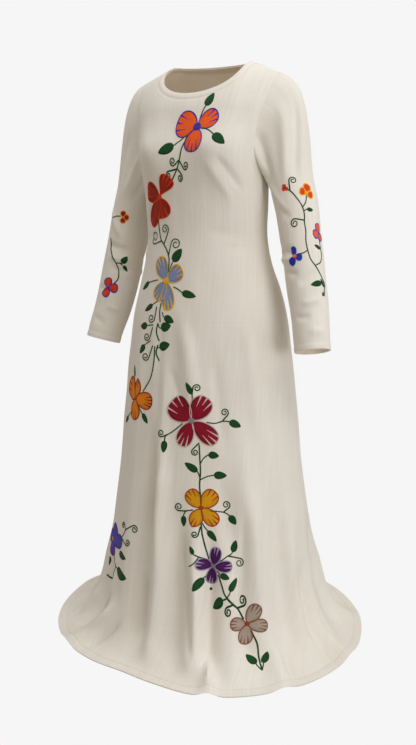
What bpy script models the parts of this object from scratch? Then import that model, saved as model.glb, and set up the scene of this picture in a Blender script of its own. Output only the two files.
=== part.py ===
# Jalabiya: a long-sleeved, round-necked full-length robe, filled out as if worn, its hem spread on the floor.
# Each piece of cloth is a closed wall, lofted through sections worked out from the sizes and tables below.
# Metres, +Z up, -Y is the front and +X is the wearer's left. The origin is midway between the two points
# where the shoulder seams meet the neckline, which is where the wearer's shoulders hold the robe up.

import math
from collections import namedtuple

import bmesh
import bpy
import numpy as np

# Driving sizes of the cut
SHOULDER_TO_FLOOR = 1.380
NECK_HALF_WIDTH = 0.105
FRONT_NECK_DROP = 0.050
BACK_NECK_DROP = 0.012
SHOULDER_HALF_WIDTH = 0.190
SHOULDER_DROP = 0.030
UNDERARM_DROP = 0.250
FACING_WIDTH = 0.014
HEM_LINE_DROP = 0.013

# Cloth: one layer, the turned hems' two layers, and how far the pieces lie apart at a seam
WALL = 0.0015
HEM_WALL = 0.0026
SEAM_GAP = 0.0004
SLEEVE_GAP = 0.0012
FACING_GAP = 0.0013

# The round over the shoulders. The neck's plane rises to the back, the right shoulder hangs a little higher,
# and the shoulder seams run at RIDGE_Y, a little behind the origin.
SHOULDER_ROUND = 0.090
NECK_TILT = 0.36
SHOULDER_LEAN = 0.045
RIDGE_Y = 0.006

# The bust that the cut gives the front
BUST_ACROSS = 0.085
BUST_DROP = 0.205
BUST_FULLNESS = 0.018
BUST_SPREAD_ACROSS = 0.055
BUST_SPREAD_DOWN = 0.080

# Where the skirt starts to spread over the floor, and how roundly it turns
SPREAD_DROP = 1.215
SPREAD_FALL = 0.095
SPREAD_REACH = 0.075
SPREAD_RISE = 0.004

# Columns and rows of the panels, and how much of the top edge is neckline
FRONT_COLUMNS = 56
BACK_COLUMNS = 38
NECK_SHARE = 0.5
YOKE_ROWS = 10
SKIRT_ROWS = 16
SPREAD_ROWS = 7
HEAD_RINGS = 6
FACING_ROWS = 2
FACING_STEPS = 48

# The sleeve leaves the armhole nearly level at the shoulder and nearly straight down at the underarm
HEAD_TOP_ANGLE = math.radians(14)
HEAD_UNDER_ANGLE = math.radians(86)
HEAD_PULL = 0.95

# Steps over which the slope of the cloth is read, and what counts as touching
STEP_ROUND = 0.004
STEP_DOWN = 0.003
TOUCH = 0.000001

FLOOR = -SHOULDER_TO_FLOOR

# Plan of the body at each distance down from the neck
Section = namedtuple("Section", "down half_width front_depth back_depth centre_y")
BODY_SECTIONS = (
    Section(0.000, 0.216, 0.098, 0.098, 0.006),
    Section(0.050, 0.213, 0.103, 0.102, 0.004),
    Section(0.100, 0.204, 0.110, 0.104, 0.000),
    Section(0.150, 0.192, 0.117, 0.106, -0.004),
    Section(0.200, 0.178, 0.124, 0.107, -0.009),
    Section(0.250, 0.167, 0.124, 0.105, -0.012),
    Section(0.320, 0.160, 0.118, 0.101, -0.011),
    Section(0.400, 0.156, 0.117, 0.102, -0.009),
    Section(0.460, 0.166, 0.128, 0.115, -0.005),
    Section(0.520, 0.184, 0.140, 0.136, -0.001),
    Section(0.580, 0.199, 0.152, 0.155, 0.001),
    Section(0.670, 0.210, 0.166, 0.172, 0.003),
    Section(0.795, 0.219, 0.183, 0.191, 0.004),
    Section(0.920, 0.231, 0.202, 0.211, 0.006),
    Section(1.045, 0.247, 0.224, 0.233, 0.008),
    Section(1.175, 0.267, 0.249, 0.261, 0.010),
    Section(1.300, 0.290, 0.276, 0.290, 0.012),
)

# Edge of the armhole on the front and on the back, from the shoulder seam to the underarm
Armhole = namedtuple("Armhole", "down front back")
ARMHOLE_EDGE = (
    Armhole(0.030, 0.190, 0.190),
    Armhole(0.085, 0.177, 0.180),
    Armhole(0.130, 0.164, 0.170),
    Armhole(0.180, 0.156, 0.163),
    Armhole(0.220, 0.155, 0.160),
    Armhole(0.250, 0.167, 0.167),
)

# Rings of a sleeve below its head, centred on the arm's line
Ring = namedtuple("Ring", "down out forward across through")
SLEEVE_RINGS = (
    Ring(0.290, 0.2205, 0.000, 0.0550, 0.0580),
    Ring(0.340, 0.2320, 0.002, 0.0535, 0.0560),
    Ring(0.400, 0.2455, 0.005, 0.0515, 0.0535),
    Ring(0.460, 0.2580, 0.009, 0.0500, 0.0520),
    Ring(0.520, 0.2690, 0.016, 0.0490, 0.0505),
    Ring(0.580, 0.2820, 0.025, 0.0470, 0.0480),
    Ring(0.625, 0.2910, 0.036, 0.0450, 0.0460),
    Ring(0.660, 0.2975, 0.043, 0.0440, 0.0450),
)

# Outline of the hem on the floor, by the angle from the centre front towards the wearer's left
Hem = namedtuple("Hem", "angle_deg radius")
HEM_OUTLINE = (
    Hem(-180, 0.410),
    Hem(-140, 0.408),
    Hem(-98, 0.414),
    Hem(-70, 0.400),
    Hem(-42, 0.384),
    Hem(-19, 0.362),
    Hem(-5, 0.350),
    Hem(10, 0.362),
    Hem(28, 0.392),
    Hem(52, 0.403),
    Hem(84, 0.400),
    Hem(118, 0.394),
    Hem(150, 0.400),
    Hem(180, 0.410),
)

# Folds of the skirt, each along a line from its top to its foot. A positive height is a ridge and a negative
# one a trough. Angles are read as in the hem's outline, and a fold whose foot is the hem runs off its edge. A
# fold is full from FOLD_SWELL of its length, and fades out round its foot over FOLD_FADE.
Fold = namedtuple("Fold", "top top_deg foot foot_deg width_deg height")
SKIRT_FOLDS = (
    Fold(0.54, 2, 0.80, 15, 5.0, 0.006),
    Fold(0.62, -10, 0.99, -2, 4.5, 0.006),
    Fold(0.82, -24, 1.31, -14, 6.5, -0.008),
    Fold(0.80, -9, 1.33, -1, 5.5, 0.011),
    Fold(0.98, 9, 1.32, 13, 5.0, -0.011),
    Fold(1.00, 16, 1.34, 19, 4.6, 0.015),
    Fold(1.04, 25, 1.33, 27, 4.2, -0.014),
    Fold(0.98, 33, 1.35, 35, 5.0, 0.011),
    Fold(1.28, 28, 1.38, 29, 3.4, 0.010),
    Fold(0.88, 32, 1.30, 42, 5.0, -0.008),
    Fold(0.84, 38, 1.31, 50, 6.0, 0.010),
    Fold(1.27, 57, 1.38, 54, 3.6, 0.009),
    Fold(0.97, 68, 1.31, 65, 6.0, -0.007),
    Fold(0.98, 78, 1.34, 73, 5.5, 0.008),
    Fold(1.14, 85, 1.35, 80, 4.2, -0.008),
    Fold(1.18, 92, 1.38, 87, 4.5, 0.007),
    Fold(1.05, 106, 1.33, 103, 6.0, -0.009),
    Fold(1.12, 120, 1.38, 116, 6.5, 0.008),
    Fold(0.95, 134, 1.34, 130, 6.0, -0.011),
    Fold(0.78, 148, 1.35, 145, 7.0, 0.014),
    Fold(0.86, 162, 1.33, 160, 6.5, -0.012),
    Fold(0.74, 176, 1.38, 174, 7.5, 0.016),
    Fold(0.84, -168, 1.33, -171, 6.0, -0.012),
    Fold(0.92, -155, 1.36, -156, 6.5, 0.012),
    Fold(0.98, -141, 1.33, -140, 6.0, -0.010),
    Fold(0.80, -128, 1.38, -124, 7.0, 0.014),
    Fold(1.02, -110, 1.34, -108, 6.0, -0.009),
    Fold(1.10, -96, 1.38, -92, 6.0, 0.011),
    Fold(1.12, -74, 1.34, -72, 5.5, -0.007),
    Fold(1.12, -58, 1.33, -60, 6.0, 0.005),
    Fold(1.16, -40, 1.32, -44, 5.0, -0.010),
    Fold(1.24, -25, 1.38, -38, 4.5, 0.010),
)
FOLD_SWELL = 0.5
FOLD_FADE = 0.060

CLOTH_COLOUR = (0.74, 0.70, 0.64, 1.0)
FACING_COLOUR = (0.66, 0.62, 0.56, 1.0)
CLOTH_ROUGHNESS = 0.85
CREASE_ANGLE = math.radians(50)


def read(table, name, at):
    """A named column of a table, on a smooth curve through its rows, at places along its first column."""
    places = np.array([row[0] for row in table], float)
    values = np.array([getattr(row, name) for row in table], float)
    slopes = np.gradient(values, places)
    at = np.clip(np.asarray(at, float), places[0], places[-1])
    row = np.clip(np.searchsorted(places, at, side="right") - 1, 0, len(places) - 2)
    step = places[row + 1] - places[row]
    t = (at - places[row]) / step
    start = (1 + 2 * t) * (1 - t) ** 2 * values[row] + t * (1 - t) ** 2 * step * slopes[row]
    end = t * t * (3 - 2 * t) * values[row + 1] + t * t * (t - 1) * step * slopes[row + 1]
    return start + end


def mix(first, second, share):
    return first + (second - first) * share


def smooth(share):
    share = np.clip(share, 0, 1)
    return share * share * (3 - 2 * share)


def unit(vectors):
    return vectors / np.maximum(np.linalg.norm(vectors, axis=-1, keepdims=True), TOUCH)


def shoulder_line(across):
    """How far down the shoulder seam lies at a distance from the centre."""
    slope = SHOULDER_DROP / (SHOULDER_HALF_WIDTH - NECK_HALF_WIDTH)
    return slope * np.maximum(np.abs(across) - NECK_HALF_WIDTH, 0)


def skirt_point(angle, down):
    """A point of the body above the floor spread, at an angle round it from the centre front."""
    across = read(BODY_SECTIONS, "half_width", down) * np.sin(angle)
    front = np.cos(angle) > 0
    depth = np.where(front, read(BODY_SECTIONS, "front_depth", down), read(BODY_SECTIONS, "back_depth", down))
    below = np.clip((down - shoulder_line(across)) / SHOULDER_ROUND, 0, 1)
    roll = np.sqrt(1 - (1 - below) ** 2)
    bust_across = (np.abs(across) - BUST_ACROSS) / BUST_SPREAD_ACROSS
    bust_down = (down - BUST_DROP) / BUST_SPREAD_DOWN
    bust = np.where(front, BUST_FULLNESS * np.exp(-bust_across ** 2 - bust_down ** 2), 0)
    forward = depth * np.cos(angle) * roll + bust * np.sqrt(np.abs(np.cos(angle)))
    y = read(BODY_SECTIONS, "centre_y", down) - forward
    lift = (NECK_TILT * (y - RIDGE_Y) - SHOULDER_LEAN * across) * (1 - smooth(down / UNDERARM_DROP))
    return np.stack([across, y, lift - down], axis=-1)


def base_point(angle, down):
    """A point of the smooth body, spread over the floor at its foot, before any fold."""
    angle, down = np.broadcast_arrays(np.asarray(angle, float), np.asarray(down, float))
    upper = skirt_point(angle, np.minimum(down, SPREAD_DROP))
    start = skirt_point(angle, np.full(down.shape, SPREAD_DROP))
    fall = (start - skirt_point(angle, np.full(down.shape, SPREAD_DROP - STEP_DOWN))) / STEP_DOWN
    radius = read(HEM_OUTLINE, "radius", (np.degrees(angle) + 180) % 360 - 180)
    floor_level = FLOOR + HEM_WALL + 0 * angle
    hem = np.stack([radius * np.sin(angle), -radius * np.cos(angle), floor_level], axis=-1)
    turn = upper + fall * SPREAD_FALL
    inward = unit((upper - hem) * (1, 1, 0))
    reach = hem + inward * SPREAD_REACH + np.array((0, 0, SPREAD_RISE))
    t = np.clip((down - SPREAD_DROP) / (SHOULDER_TO_FLOOR - SPREAD_DROP), 0, 1)[..., None]
    spread = (1 - t) ** 3 * upper + 3 * t * (1 - t) ** 2 * turn + 3 * t * t * (1 - t) * reach + t ** 3 * hem
    return np.where((down > SPREAD_DROP)[..., None], spread, upper)


def fold_height(angle, down):
    """How far the folds of the skirt raise or sink the cloth."""
    degrees = np.degrees(angle)
    total = 0 * degrees
    for fold in SKIRT_FOLDS:
        along = (down - fold.top) / (fold.foot - fold.top)
        offset = (degrees - mix(fold.top_deg, fold.foot_deg, along) + 180) % 360 - 180
        fade = smooth((down - fold.foot) / FOLD_FADE + 1 / 2)
        swell = smooth(along / FOLD_SWELL) * (1 - fade)
        total = total + fold.height * swell * np.exp(-(offset / fold.width_deg) ** 2)
    return total


def outward(point_at, angle, down):
    """The direction that a surface faces, from its slopes round and down."""
    around = point_at(angle + STEP_ROUND, down) - point_at(angle - STEP_ROUND, down)
    along = point_at(angle, down + STEP_DOWN) - point_at(angle, down - STEP_DOWN)
    return unit(np.cross(along, around))


def cloth_point(angle, down):
    """A point of the robe's outer face, folds included, never below the floor."""
    lift = fold_height(angle, down)[..., None]
    points = base_point(angle, down) + outward(base_point, angle, down) * lift
    points[..., 2] = np.maximum(points[..., 2], FLOOR + HEM_WALL)
    return points


def neckline(share, drop):
    """Across and down of the neckline, from its lowest point at share 0 to the shoulder seam at share 1."""
    turn = np.radians(90) * np.clip(share, 0, 1)
    return NECK_HALF_WIDTH * np.sin(turn), drop * np.cos(turn)


def angle_at(across, down):
    """The angle round the body, under 90 degrees, at which it is that far across."""
    return np.arcsin(np.clip(across / read(BODY_SECTIONS, "half_width", down), 0, 1))


def yoke_place(side, share, t, drop):
    """Angle and down of a place above the underarm: share runs 0 to 1 from the centre to the armhole edge."""
    rounded = (1 - np.cos(np.pi * t)) / 2
    edge_down = mix(SHOULDER_DROP, UNDERARM_DROP, rounded)
    edge_angle = angle_at(read(ARMHOLE_EDGE, side, edge_down), edge_down)
    neck_across, neck_down = neckline(share / NECK_SHARE, drop)
    seam_across = mix(NECK_HALF_WIDTH, SHOULDER_HALF_WIDTH, (share - NECK_SHARE) / (1 - NECK_SHARE))
    on_neck = share < NECK_SHARE
    top_across = np.where(on_neck, neck_across, seam_across)
    top_down = np.where(on_neck, neck_down, shoulder_line(top_across))
    top_share = angle_at(top_across, top_down) / angle_at(SHOULDER_HALF_WIDTH, SHOULDER_DROP)
    angle = edge_angle * mix(top_share, share, smooth(t))
    down = mix(top_down, UNDERARM_DROP, mix(t ** 2, rounded, share ** 4))
    return angle, down


def panel(side, columns, drop):
    """Angles and downs of a panel's grid, a row for each level from the shoulder to the hem."""
    shares = np.linspace(-1, 1, columns + 1)
    yoke = [yoke_place(side, np.abs(shares), t, drop) for t in np.linspace(0, 1, YOKE_ROWS + 1)]
    skirt_levels = np.linspace(UNDERARM_DROP, SPREAD_DROP, SKIRT_ROWS + 1)[1:]
    hem_line = SHOULDER_TO_FLOOR - HEM_LINE_DROP
    spread_levels = np.append(np.linspace(SPREAD_DROP, hem_line, SPREAD_ROWS)[1:], SHOULDER_TO_FLOOR)
    angles = [np.sign(shares) * angle for angle, down in yoke]
    downs = [down for angle, down in yoke]
    for level in np.concatenate([skirt_levels, spread_levels]):
        angles.append(shares * np.radians(90))
        downs.append(np.full(columns + 1, level))
    angles = np.array(angles)
    if side == "back":
        angles = np.pi - angles
    return angles, np.array(downs)


def panel_faces(side, columns, drop):
    """Outer points, facing directions and wall thicknesses of the front or the back."""
    angles, downs = panel(side, columns, drop)
    points = cloth_point(angles, downs)
    facing = outward(cloth_point, angles, downs)
    seam = np.abs(np.linspace(-1, 1, columns + 1)) >= NECK_SHARE
    facing[0, seam, 1] = 0
    facing = unit(facing)
    points[..., 1] += SEAM_GAP / 2 * (1 if side == "back" else -1)
    in_hem = downs >= SHOULDER_TO_FLOOR - HEM_LINE_DROP - TOUCH
    return points, facing, np.where(in_hem, HEM_WALL, WALL)


def arm_place(ring):
    """Centre of a sleeve's ring."""
    return np.array((ring.out, -ring.forward, -ring.down))


def ring_directions(index):
    """Along the arm, and square to it: outwards and forwards, at one ring of the sleeve."""
    before = arm_place(SLEEVE_RINGS[max(index - 1, 0)])
    after = arm_place(SLEEVE_RINGS[min(index + 1, len(SLEEVE_RINGS) - 1)])
    along = unit(after - before)
    out = unit(np.array((1, 0, 0)) - along * along[0])
    return along, out, np.cross(along, out)


def ring_points(index, turns):
    """Points of a sleeve's ring, from the outer side round by the front."""
    ring = SLEEVE_RINGS[index]
    along, out, forward = ring_directions(index)
    across = ring.across * np.cos(turns)[:, None] * out
    through = ring.through * np.sin(turns)[:, None] * forward
    return arm_place(ring) + across + through


def armhole_loop(front, back, side):
    """An armhole's edge, down the front and up the back, as a left one. Side is -1 for the right."""
    edge = -1 if side > 0 else 0
    front_edge = front[:YOKE_ROWS + 1, edge] * (side, 1, 1)
    back_edge = back[:YOKE_ROWS + 1, edge] * (side, 1, 1)
    loop = np.concatenate([front_edge, back_edge[-2:0:-1]])
    for shared in (0, YOKE_ROWS):
        loop[shared] = (front_edge[shared] + back_edge[shared]) / 2
    return loop


def sleeve_faces(front, back, side):
    """Outer points, facing directions and thicknesses of a sleeve, ring by ring, as a left one."""
    loop = armhole_loop(front[0], back[0], side)
    turns = np.linspace(0, 2 * np.pi, 2 * YOKE_ROWS, endpoint=False)
    under = ((1 - np.cos(turns)) / 2)[:, None]
    leave_angle = mix(HEAD_TOP_ANGLE, HEAD_UNDER_ANGLE, under)
    leave = np.cos(leave_angle) * np.array((1, 0, 0)) + np.sin(leave_angle) * np.array((0, 0, -1))
    arm = ring_points(0, turns)
    pull = np.linalg.norm(arm - loop, axis=1, keepdims=True) * HEAD_PULL
    start = loop + np.array((SLEEVE_GAP, 0, 0))
    along = ring_directions(0)[0]
    rings = []
    for t in np.linspace(0, 1, HEAD_RINGS, endpoint=False):
        stay = (1 + 2 * t) * (1 - t) ** 2 * start + t * (1 - t) ** 2 * pull * leave
        go = t * t * (3 - 2 * t) * arm + t * t * (t - 1) * pull * along
        rings.append(stay + go)
    rings += [ring_points(index, turns) for index in range(len(SLEEVE_RINGS))]
    points = np.array(rings)
    around = np.roll(points, -1, axis=1) - np.roll(points, 1, axis=1)
    down_arm = np.gradient(points, axis=0)
    facing = unit(np.cross(around, down_arm))
    thickness = np.full(points.shape[:2], WALL)
    thickness[-2:] = HEM_WALL
    return [np.concatenate([grid, grid[:, :1]], axis=1) for grid in (points, facing, thickness)]


def facing_faces():
    """Outer points, facing directions and thicknesses of the strip inside the neck edge."""
    turns = np.linspace(-np.pi, np.pi, FACING_STEPS + 1)
    widths = np.linspace(0, FACING_WIDTH, FACING_ROWS + 1)[:, None]
    front = np.cos(turns) > 0
    drop = np.where(front, FRONT_NECK_DROP, BACK_NECK_DROP)
    across = (NECK_HALF_WIDTH + widths) * np.abs(np.sin(turns))
    down = shoulder_line(across) + (drop + widths) * np.abs(np.cos(turns))
    angle = angle_at(across, down)
    angle = np.where(turns < 0, -1, 1) * np.where(front, angle, np.pi - angle)
    facing = outward(cloth_point, angle, down)
    facing[:, np.abs(np.cos(turns)) < TOUCH, 1] = 0
    facing = unit(facing)
    points = cloth_point(angle, down) - facing * (WALL + FACING_GAP)
    return points, facing, np.full(down.shape, WALL)


def cloth_wall(name, faces, colour, closed=False, mirrored=False):
    """A closed wall of cloth: a grid of outer points, and the same grid moved in by the thickness."""
    points, facing, thickness = faces
    inner = points - facing * thickness[..., None]
    inner[..., 2] = np.maximum(inner[..., 2], FLOOR)
    flip = np.array((-1, 1, 1)) if mirrored else np.array((1, 1, 1))
    outer_list = (points * flip).reshape(-1, 3)
    inward_list = ((inner - points) * flip).reshape(-1, 3)
    rows, columns = points.shape[:2]
    mesh = bmesh.new()
    inward = mesh.verts.layers.float_vector.new("inward")
    bmesh.ops.create_grid(mesh, x_segments=columns - 1, y_segments=rows - 1, size=1)
    for vertex, place, move in zip(mesh.verts, outer_list, inward_list):
        vertex.co = place
        vertex[inward] = move
    if closed:
        bmesh.ops.remove_doubles(mesh, verts=mesh.verts, dist=TOUCH)
    copied = bmesh.ops.extrude_face_region(mesh, geom=mesh.faces[:])
    for vertex in copied["geom"]:
        if isinstance(vertex, bmesh.types.BMVert):
            vertex.co += vertex[inward]
    bmesh.ops.recalc_face_normals(mesh, faces=mesh.faces)
    data = bpy.data.meshes.new(name)
    mesh.to_mesh(data)
    mesh.free()
    data.shade_smooth()
    data.set_sharp_from_angle(angle=CREASE_ANGLE)
    data.materials.append(cloth_material(name, colour))
    return bpy.data.objects.new(name, data)


def cloth_material(piece, colour):
    material = bpy.data.materials.new(piece + "_linen")
    material.use_nodes = True
    shader = material.node_tree.nodes["Principled BSDF"]
    shader.inputs["Base Color"].default_value = colour
    shader.inputs["Roughness"].default_value = CLOTH_ROUGHNESS
    shader.inputs["Metallic"].default_value = 0
    return material


def build():
    for old in list(bpy.data.objects):
        bpy.data.objects.remove(old, do_unlink=True)
    robe = bpy.data.collections.new("jalabiya")
    bpy.context.scene.collection.children.link(robe)
    front = panel_faces("front", FRONT_COLUMNS, FRONT_NECK_DROP)
    back = panel_faces("back", BACK_COLUMNS, BACK_NECK_DROP)
    pieces = [
        cloth_wall("front", front, CLOTH_COLOUR),
        cloth_wall("back", back, CLOTH_COLOUR),
        cloth_wall("sleeve_left", sleeve_faces(front, back, 1), CLOTH_COLOUR, closed=True),
        cloth_wall("sleeve_right", sleeve_faces(front, back, -1), CLOTH_COLOUR, closed=True, mirrored=True),
        cloth_wall("neck_facing", facing_faces(), FACING_COLOUR, closed=True),
    ]
    for piece in pieces:
        robe.objects.link(piece)


build()
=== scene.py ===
import math
from collections import namedtuple

import bmesh
import bpy
import numpy as np
from mathutils import Matrix, Vector


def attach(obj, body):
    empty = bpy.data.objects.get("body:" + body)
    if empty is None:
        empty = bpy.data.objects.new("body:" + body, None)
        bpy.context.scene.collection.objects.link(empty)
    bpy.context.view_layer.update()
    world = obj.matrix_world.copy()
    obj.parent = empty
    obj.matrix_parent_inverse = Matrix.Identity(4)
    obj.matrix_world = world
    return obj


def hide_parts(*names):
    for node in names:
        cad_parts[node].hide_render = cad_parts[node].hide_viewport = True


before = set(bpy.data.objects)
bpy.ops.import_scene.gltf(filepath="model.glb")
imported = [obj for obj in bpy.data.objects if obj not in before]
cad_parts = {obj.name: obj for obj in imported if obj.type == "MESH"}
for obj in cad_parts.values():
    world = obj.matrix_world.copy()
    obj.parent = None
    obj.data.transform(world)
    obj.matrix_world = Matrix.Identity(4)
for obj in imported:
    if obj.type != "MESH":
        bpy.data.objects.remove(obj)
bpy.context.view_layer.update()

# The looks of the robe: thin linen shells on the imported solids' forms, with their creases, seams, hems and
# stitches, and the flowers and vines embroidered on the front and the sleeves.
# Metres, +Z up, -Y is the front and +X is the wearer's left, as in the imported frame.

scene = bpy.context.scene
scene.view_settings.view_transform = "Standard"

# Camera, turned towards the wearer's left
viewpoint = {
    "distance": 1.95, "azimuth": 30, "height": -0.459, "pitch": 8.03, "lens": 37.74, "shift": -0.0013}


def placeCamera():
    turn = math.radians(viewpoint["azimuth"])
    data = bpy.data.cameras.new("camera")
    data.lens = viewpoint["lens"]
    data.shift_x = viewpoint["shift"]
    camera = bpy.data.objects.new("camera", data)
    across, back = viewpoint["distance"] * math.sin(turn), viewpoint["distance"] * math.cos(turn)
    camera.location = (across, -back, viewpoint["height"])
    camera.rotation_euler = (math.radians(90 - viewpoint["pitch"]), 0, turn)
    scene.collection.objects.link(camera)
    scene.camera = camera


placeCamera()
print("camera placed")


# Shader maths: a node's output that can be added, taken away and multiplied
class Sock:
    def __init__(self, tree, link):
        self.tree = tree
        self.link = link

    def maths(self, operation, first, second=None):
        made = self.tree.nodes.new("ShaderNodeMath")
        made.operation = operation
        for place, value in enumerate((first, second)):
            if isinstance(value, Sock):
                self.tree.links.new(value.link, made.inputs[place])
            elif value is not None:
                made.inputs[place].default_value = value
        return Sock(self.tree, made.outputs[0])

    def __add__(self, other):
        return self.maths("ADD", self, other)

    def __radd__(self, other):
        return self.maths("ADD", other, self)

    def __sub__(self, other):
        return self.maths("SUBTRACT", self, other)

    def __rsub__(self, other):
        return self.maths("SUBTRACT", other, self)

    def __mul__(self, other):
        return self.maths("MULTIPLY", self, other)

    def __rmul__(self, other):
        return self.maths("MULTIPLY", other, self)

    def wave(self):
        return self.maths("SINE", self)


# A material being made: its node tree, its Principled shader and the ways to add to them
class Finish:
    def __init__(self, name, roughness, sheen, gloss):
        self.material = bpy.data.materials.new(name)
        self.material.use_nodes = True
        self.tree = self.material.node_tree
        self.shader = self.tree.nodes["Principled BSDF"]
        self.shader.inputs["Roughness"].default_value = roughness
        self.shader.inputs["Metallic"].default_value = 0
        self.shader.inputs["Sheen Weight"].default_value = sheen
        self.shader.inputs["Sheen Roughness"].default_value = 0.5
        self.shader.inputs["Specular IOR Level"].default_value = gloss

    def node(self, kind, settings=None, values=None, output=0):
        made = self.tree.nodes.new(kind)
        for name, value in (settings or {}).items():
            setattr(made, name, value)
        for name, value in (values or {}).items():
            if isinstance(value, Sock):
                self.tree.links.new(value.link, made.inputs[name])
            else:
                made.inputs[name].default_value = value
        return Sock(self.tree, made.outputs[output])

    def axis(self, place, which):
        return self.node("ShaderNodeSeparateXYZ", None, {0: place}, which)

    def noise(self, place, across, along, detail=2.0):
        spot = self.node("ShaderNodeVectorMath", {"operation": "MULTIPLY"}, {0: place, 1: (across, along, 1)})
        return self.node("ShaderNodeTexNoise", None, {"Vector": spot, "Scale": 1.0, "Detail": detail})

    def mixed(self, share, first, second):
        made = self.tree.nodes.new("ShaderNodeMix")
        made.data_type = "RGBA"
        for name, value in (("Factor", share), ("A", first), ("B", second)):
            socket = [each for each in made.inputs if each.name == name and each.enabled][0]
            if isinstance(value, Sock):
                self.tree.links.new(value.link, socket)
            else:
                socket.default_value = value
        return Sock(self.tree, [each for each in made.outputs if each.enabled][0])

    def feed(self, name, value):
        self.tree.links.new(value.link, self.shader.inputs[name])

    def bump(self, height, distance):
        self.feed("Normal", self.node("ShaderNodeBump", None, {"Height": height, "Distance": distance}))


def table(columns, *rows):
    # rows with named columns
    Row = namedtuple("Row", columns)
    return tuple(Row(*row) for row in rows)


# Studio: a high soft key a little to the camera's right, weaker lights low and far on the same side and over
# the back, warm light all round, and a plain pale floor and backdrop
studio = {
    "worldLight": (0.418, 0.387, 0.344), "aim": (0, 0, -0.62), "paper": 0.9216, "floorRadius": 14,
    "floorLevel": -1.3805}

# How far each light is to the camera's right, towards the camera and up from the frame's origin
lamps = table(
    "name power size across near high colour",
    ("key", 58, 2.0, 1.1, 1.95, 2.7, (0.98, 1.0, 1.01)),
    ("fill", 19, 1.6, 2.0, 2.2, -0.6, (0.97, 1.0, 1.05)),
    ("side", 15, 2.0, 2.8, 0.6, 1.6, (0.95, 1.0, 1.08)),
    ("top", 27, 2.0, -1.3, -0.6, 2.6, (0.96, 1.0, 1.06)))


def softLight(lamp):
    turn = math.radians(viewpoint["azimuth"])
    data = bpy.data.lights.new(lamp.name, "AREA")
    data.energy = lamp.power
    data.shape = "DISK"
    data.size = lamp.size
    data.color = lamp.colour
    light = bpy.data.objects.new(lamp.name, data)
    across = lamp.across * math.cos(turn) + lamp.near * math.sin(turn)
    light.location = (across, lamp.across * math.sin(turn) - lamp.near * math.cos(turn), lamp.high)
    aim = light.location - Vector(studio["aim"])
    light.rotation_euler = aim.to_track_quat("Z", "Y").to_euler()
    scene.collection.objects.link(light)


def plainPaper(name, mesh):
    data = bpy.data.meshes.new(name)
    mesh.to_mesh(data)
    mesh.free()
    paper = bpy.data.materials.new(name)
    paper.use_nodes = True
    tree = paper.node_tree
    tree.nodes.clear()
    glow = tree.nodes.new("ShaderNodeEmission")
    glow.inputs["Color"].default_value = (*[studio["paper"]] * 3, 1)
    end = tree.nodes.new("ShaderNodeOutputMaterial")
    tree.links.new(glow.outputs[0], end.inputs["Surface"])
    data.materials.append(paper)
    sheet = bpy.data.objects.new(name, data)
    for ray in ("diffuse", "glossy", "transmission", "shadow"):
        setattr(sheet, "visible_" + ray, False)
    scene.collection.objects.link(sheet)


def buildStudio():
    world = bpy.data.worlds.new("studio")
    world.use_nodes = True
    world.node_tree.nodes["Background"].inputs["Color"].default_value = (*studio["worldLight"], 1)
    scene.world = world
    for lamp in lamps:
        softLight(lamp)
    ground = bmesh.new()
    bmesh.ops.create_circle(ground, cap_ends=True, segments=64, radius=studio["floorRadius"])
    bmesh.ops.translate(ground, verts=ground.verts, vec=(0, 0, studio["floorLevel"]))
    plainPaper("floor", ground)
    dome = bmesh.new()
    bmesh.ops.create_uvsphere(dome, u_segments=48, v_segments=24, radius=studio["floorRadius"])
    bmesh.ops.reverse_faces(dome, faces=dome.faces)
    plainPaper("backdrop", dome)


buildStudio()
print("studio built")


# Linen: slubs that run down the cloth, fainter ones across it, and a plain weave, each as how often it
# changes in a metre round and a metre along; the relief is in metres
weaving = {
    "slubs": (210, 7), "picks": (6, 260), "clouds": (16, 12, 3), "warp": 6900, "weft": 6300,
    "relief": 0.00035}


def linen(name, pale, deep, glow=(0, 0, 0, 1)):
    # painted light: the glow is emission that brightens the cloth's inner face, in place of the light that
    # comes through the thin cloth
    made = Finish(name, roughness=0.88, sheen=0.06, gloss=0.2)
    made.shader.inputs["Emission Color"].default_value = glow
    made.shader.inputs["Emission Strength"].default_value = 1
    place = made.node("ShaderNodeUVMap", {"uv_map": "cloth"})
    slubs = made.noise(place, *weaving["slubs"])
    picks = made.noise(place, *weaving["picks"])
    clouds = made.noise(place, *weaving["clouds"])
    weave = (made.axis(place, 0) * weaving["warp"]).wave() * (made.axis(place, 1) * weaving["weft"]).wave()
    # the last number brings the mean of the three to a half
    made.feed("Base Color", made.mixed(slubs * 1.35 + picks * 0.5 + clouds * 0.8 - 0.83, deep, pale))
    made.bump(slubs * 0.8 + picks * 0.4 + weave * 0.12, weaving["relief"])
    return made.material


outerLinen = linen("outer_linen", (0.835, 0.79, 0.722, 1), (0.765, 0.715, 0.64, 1))
# painted light: the inner and facing linen are lighter, warmer copies of the outer linen, and the inner one
# glows, so that the shaded inside of the robe reads brighter
innerLinenPaintedLight = linen("inner_linen_painted_light", (0.93, 0.85, 0.74, 1), (0.87, 0.78, 0.66, 1), (0.036, 0.033, 0.028, 1))
facingLinenPaintedLight = linen("facing_linen_painted_light", (0.88, 0.80, 0.70, 1), (0.80, 0.72, 0.61, 1))


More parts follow.
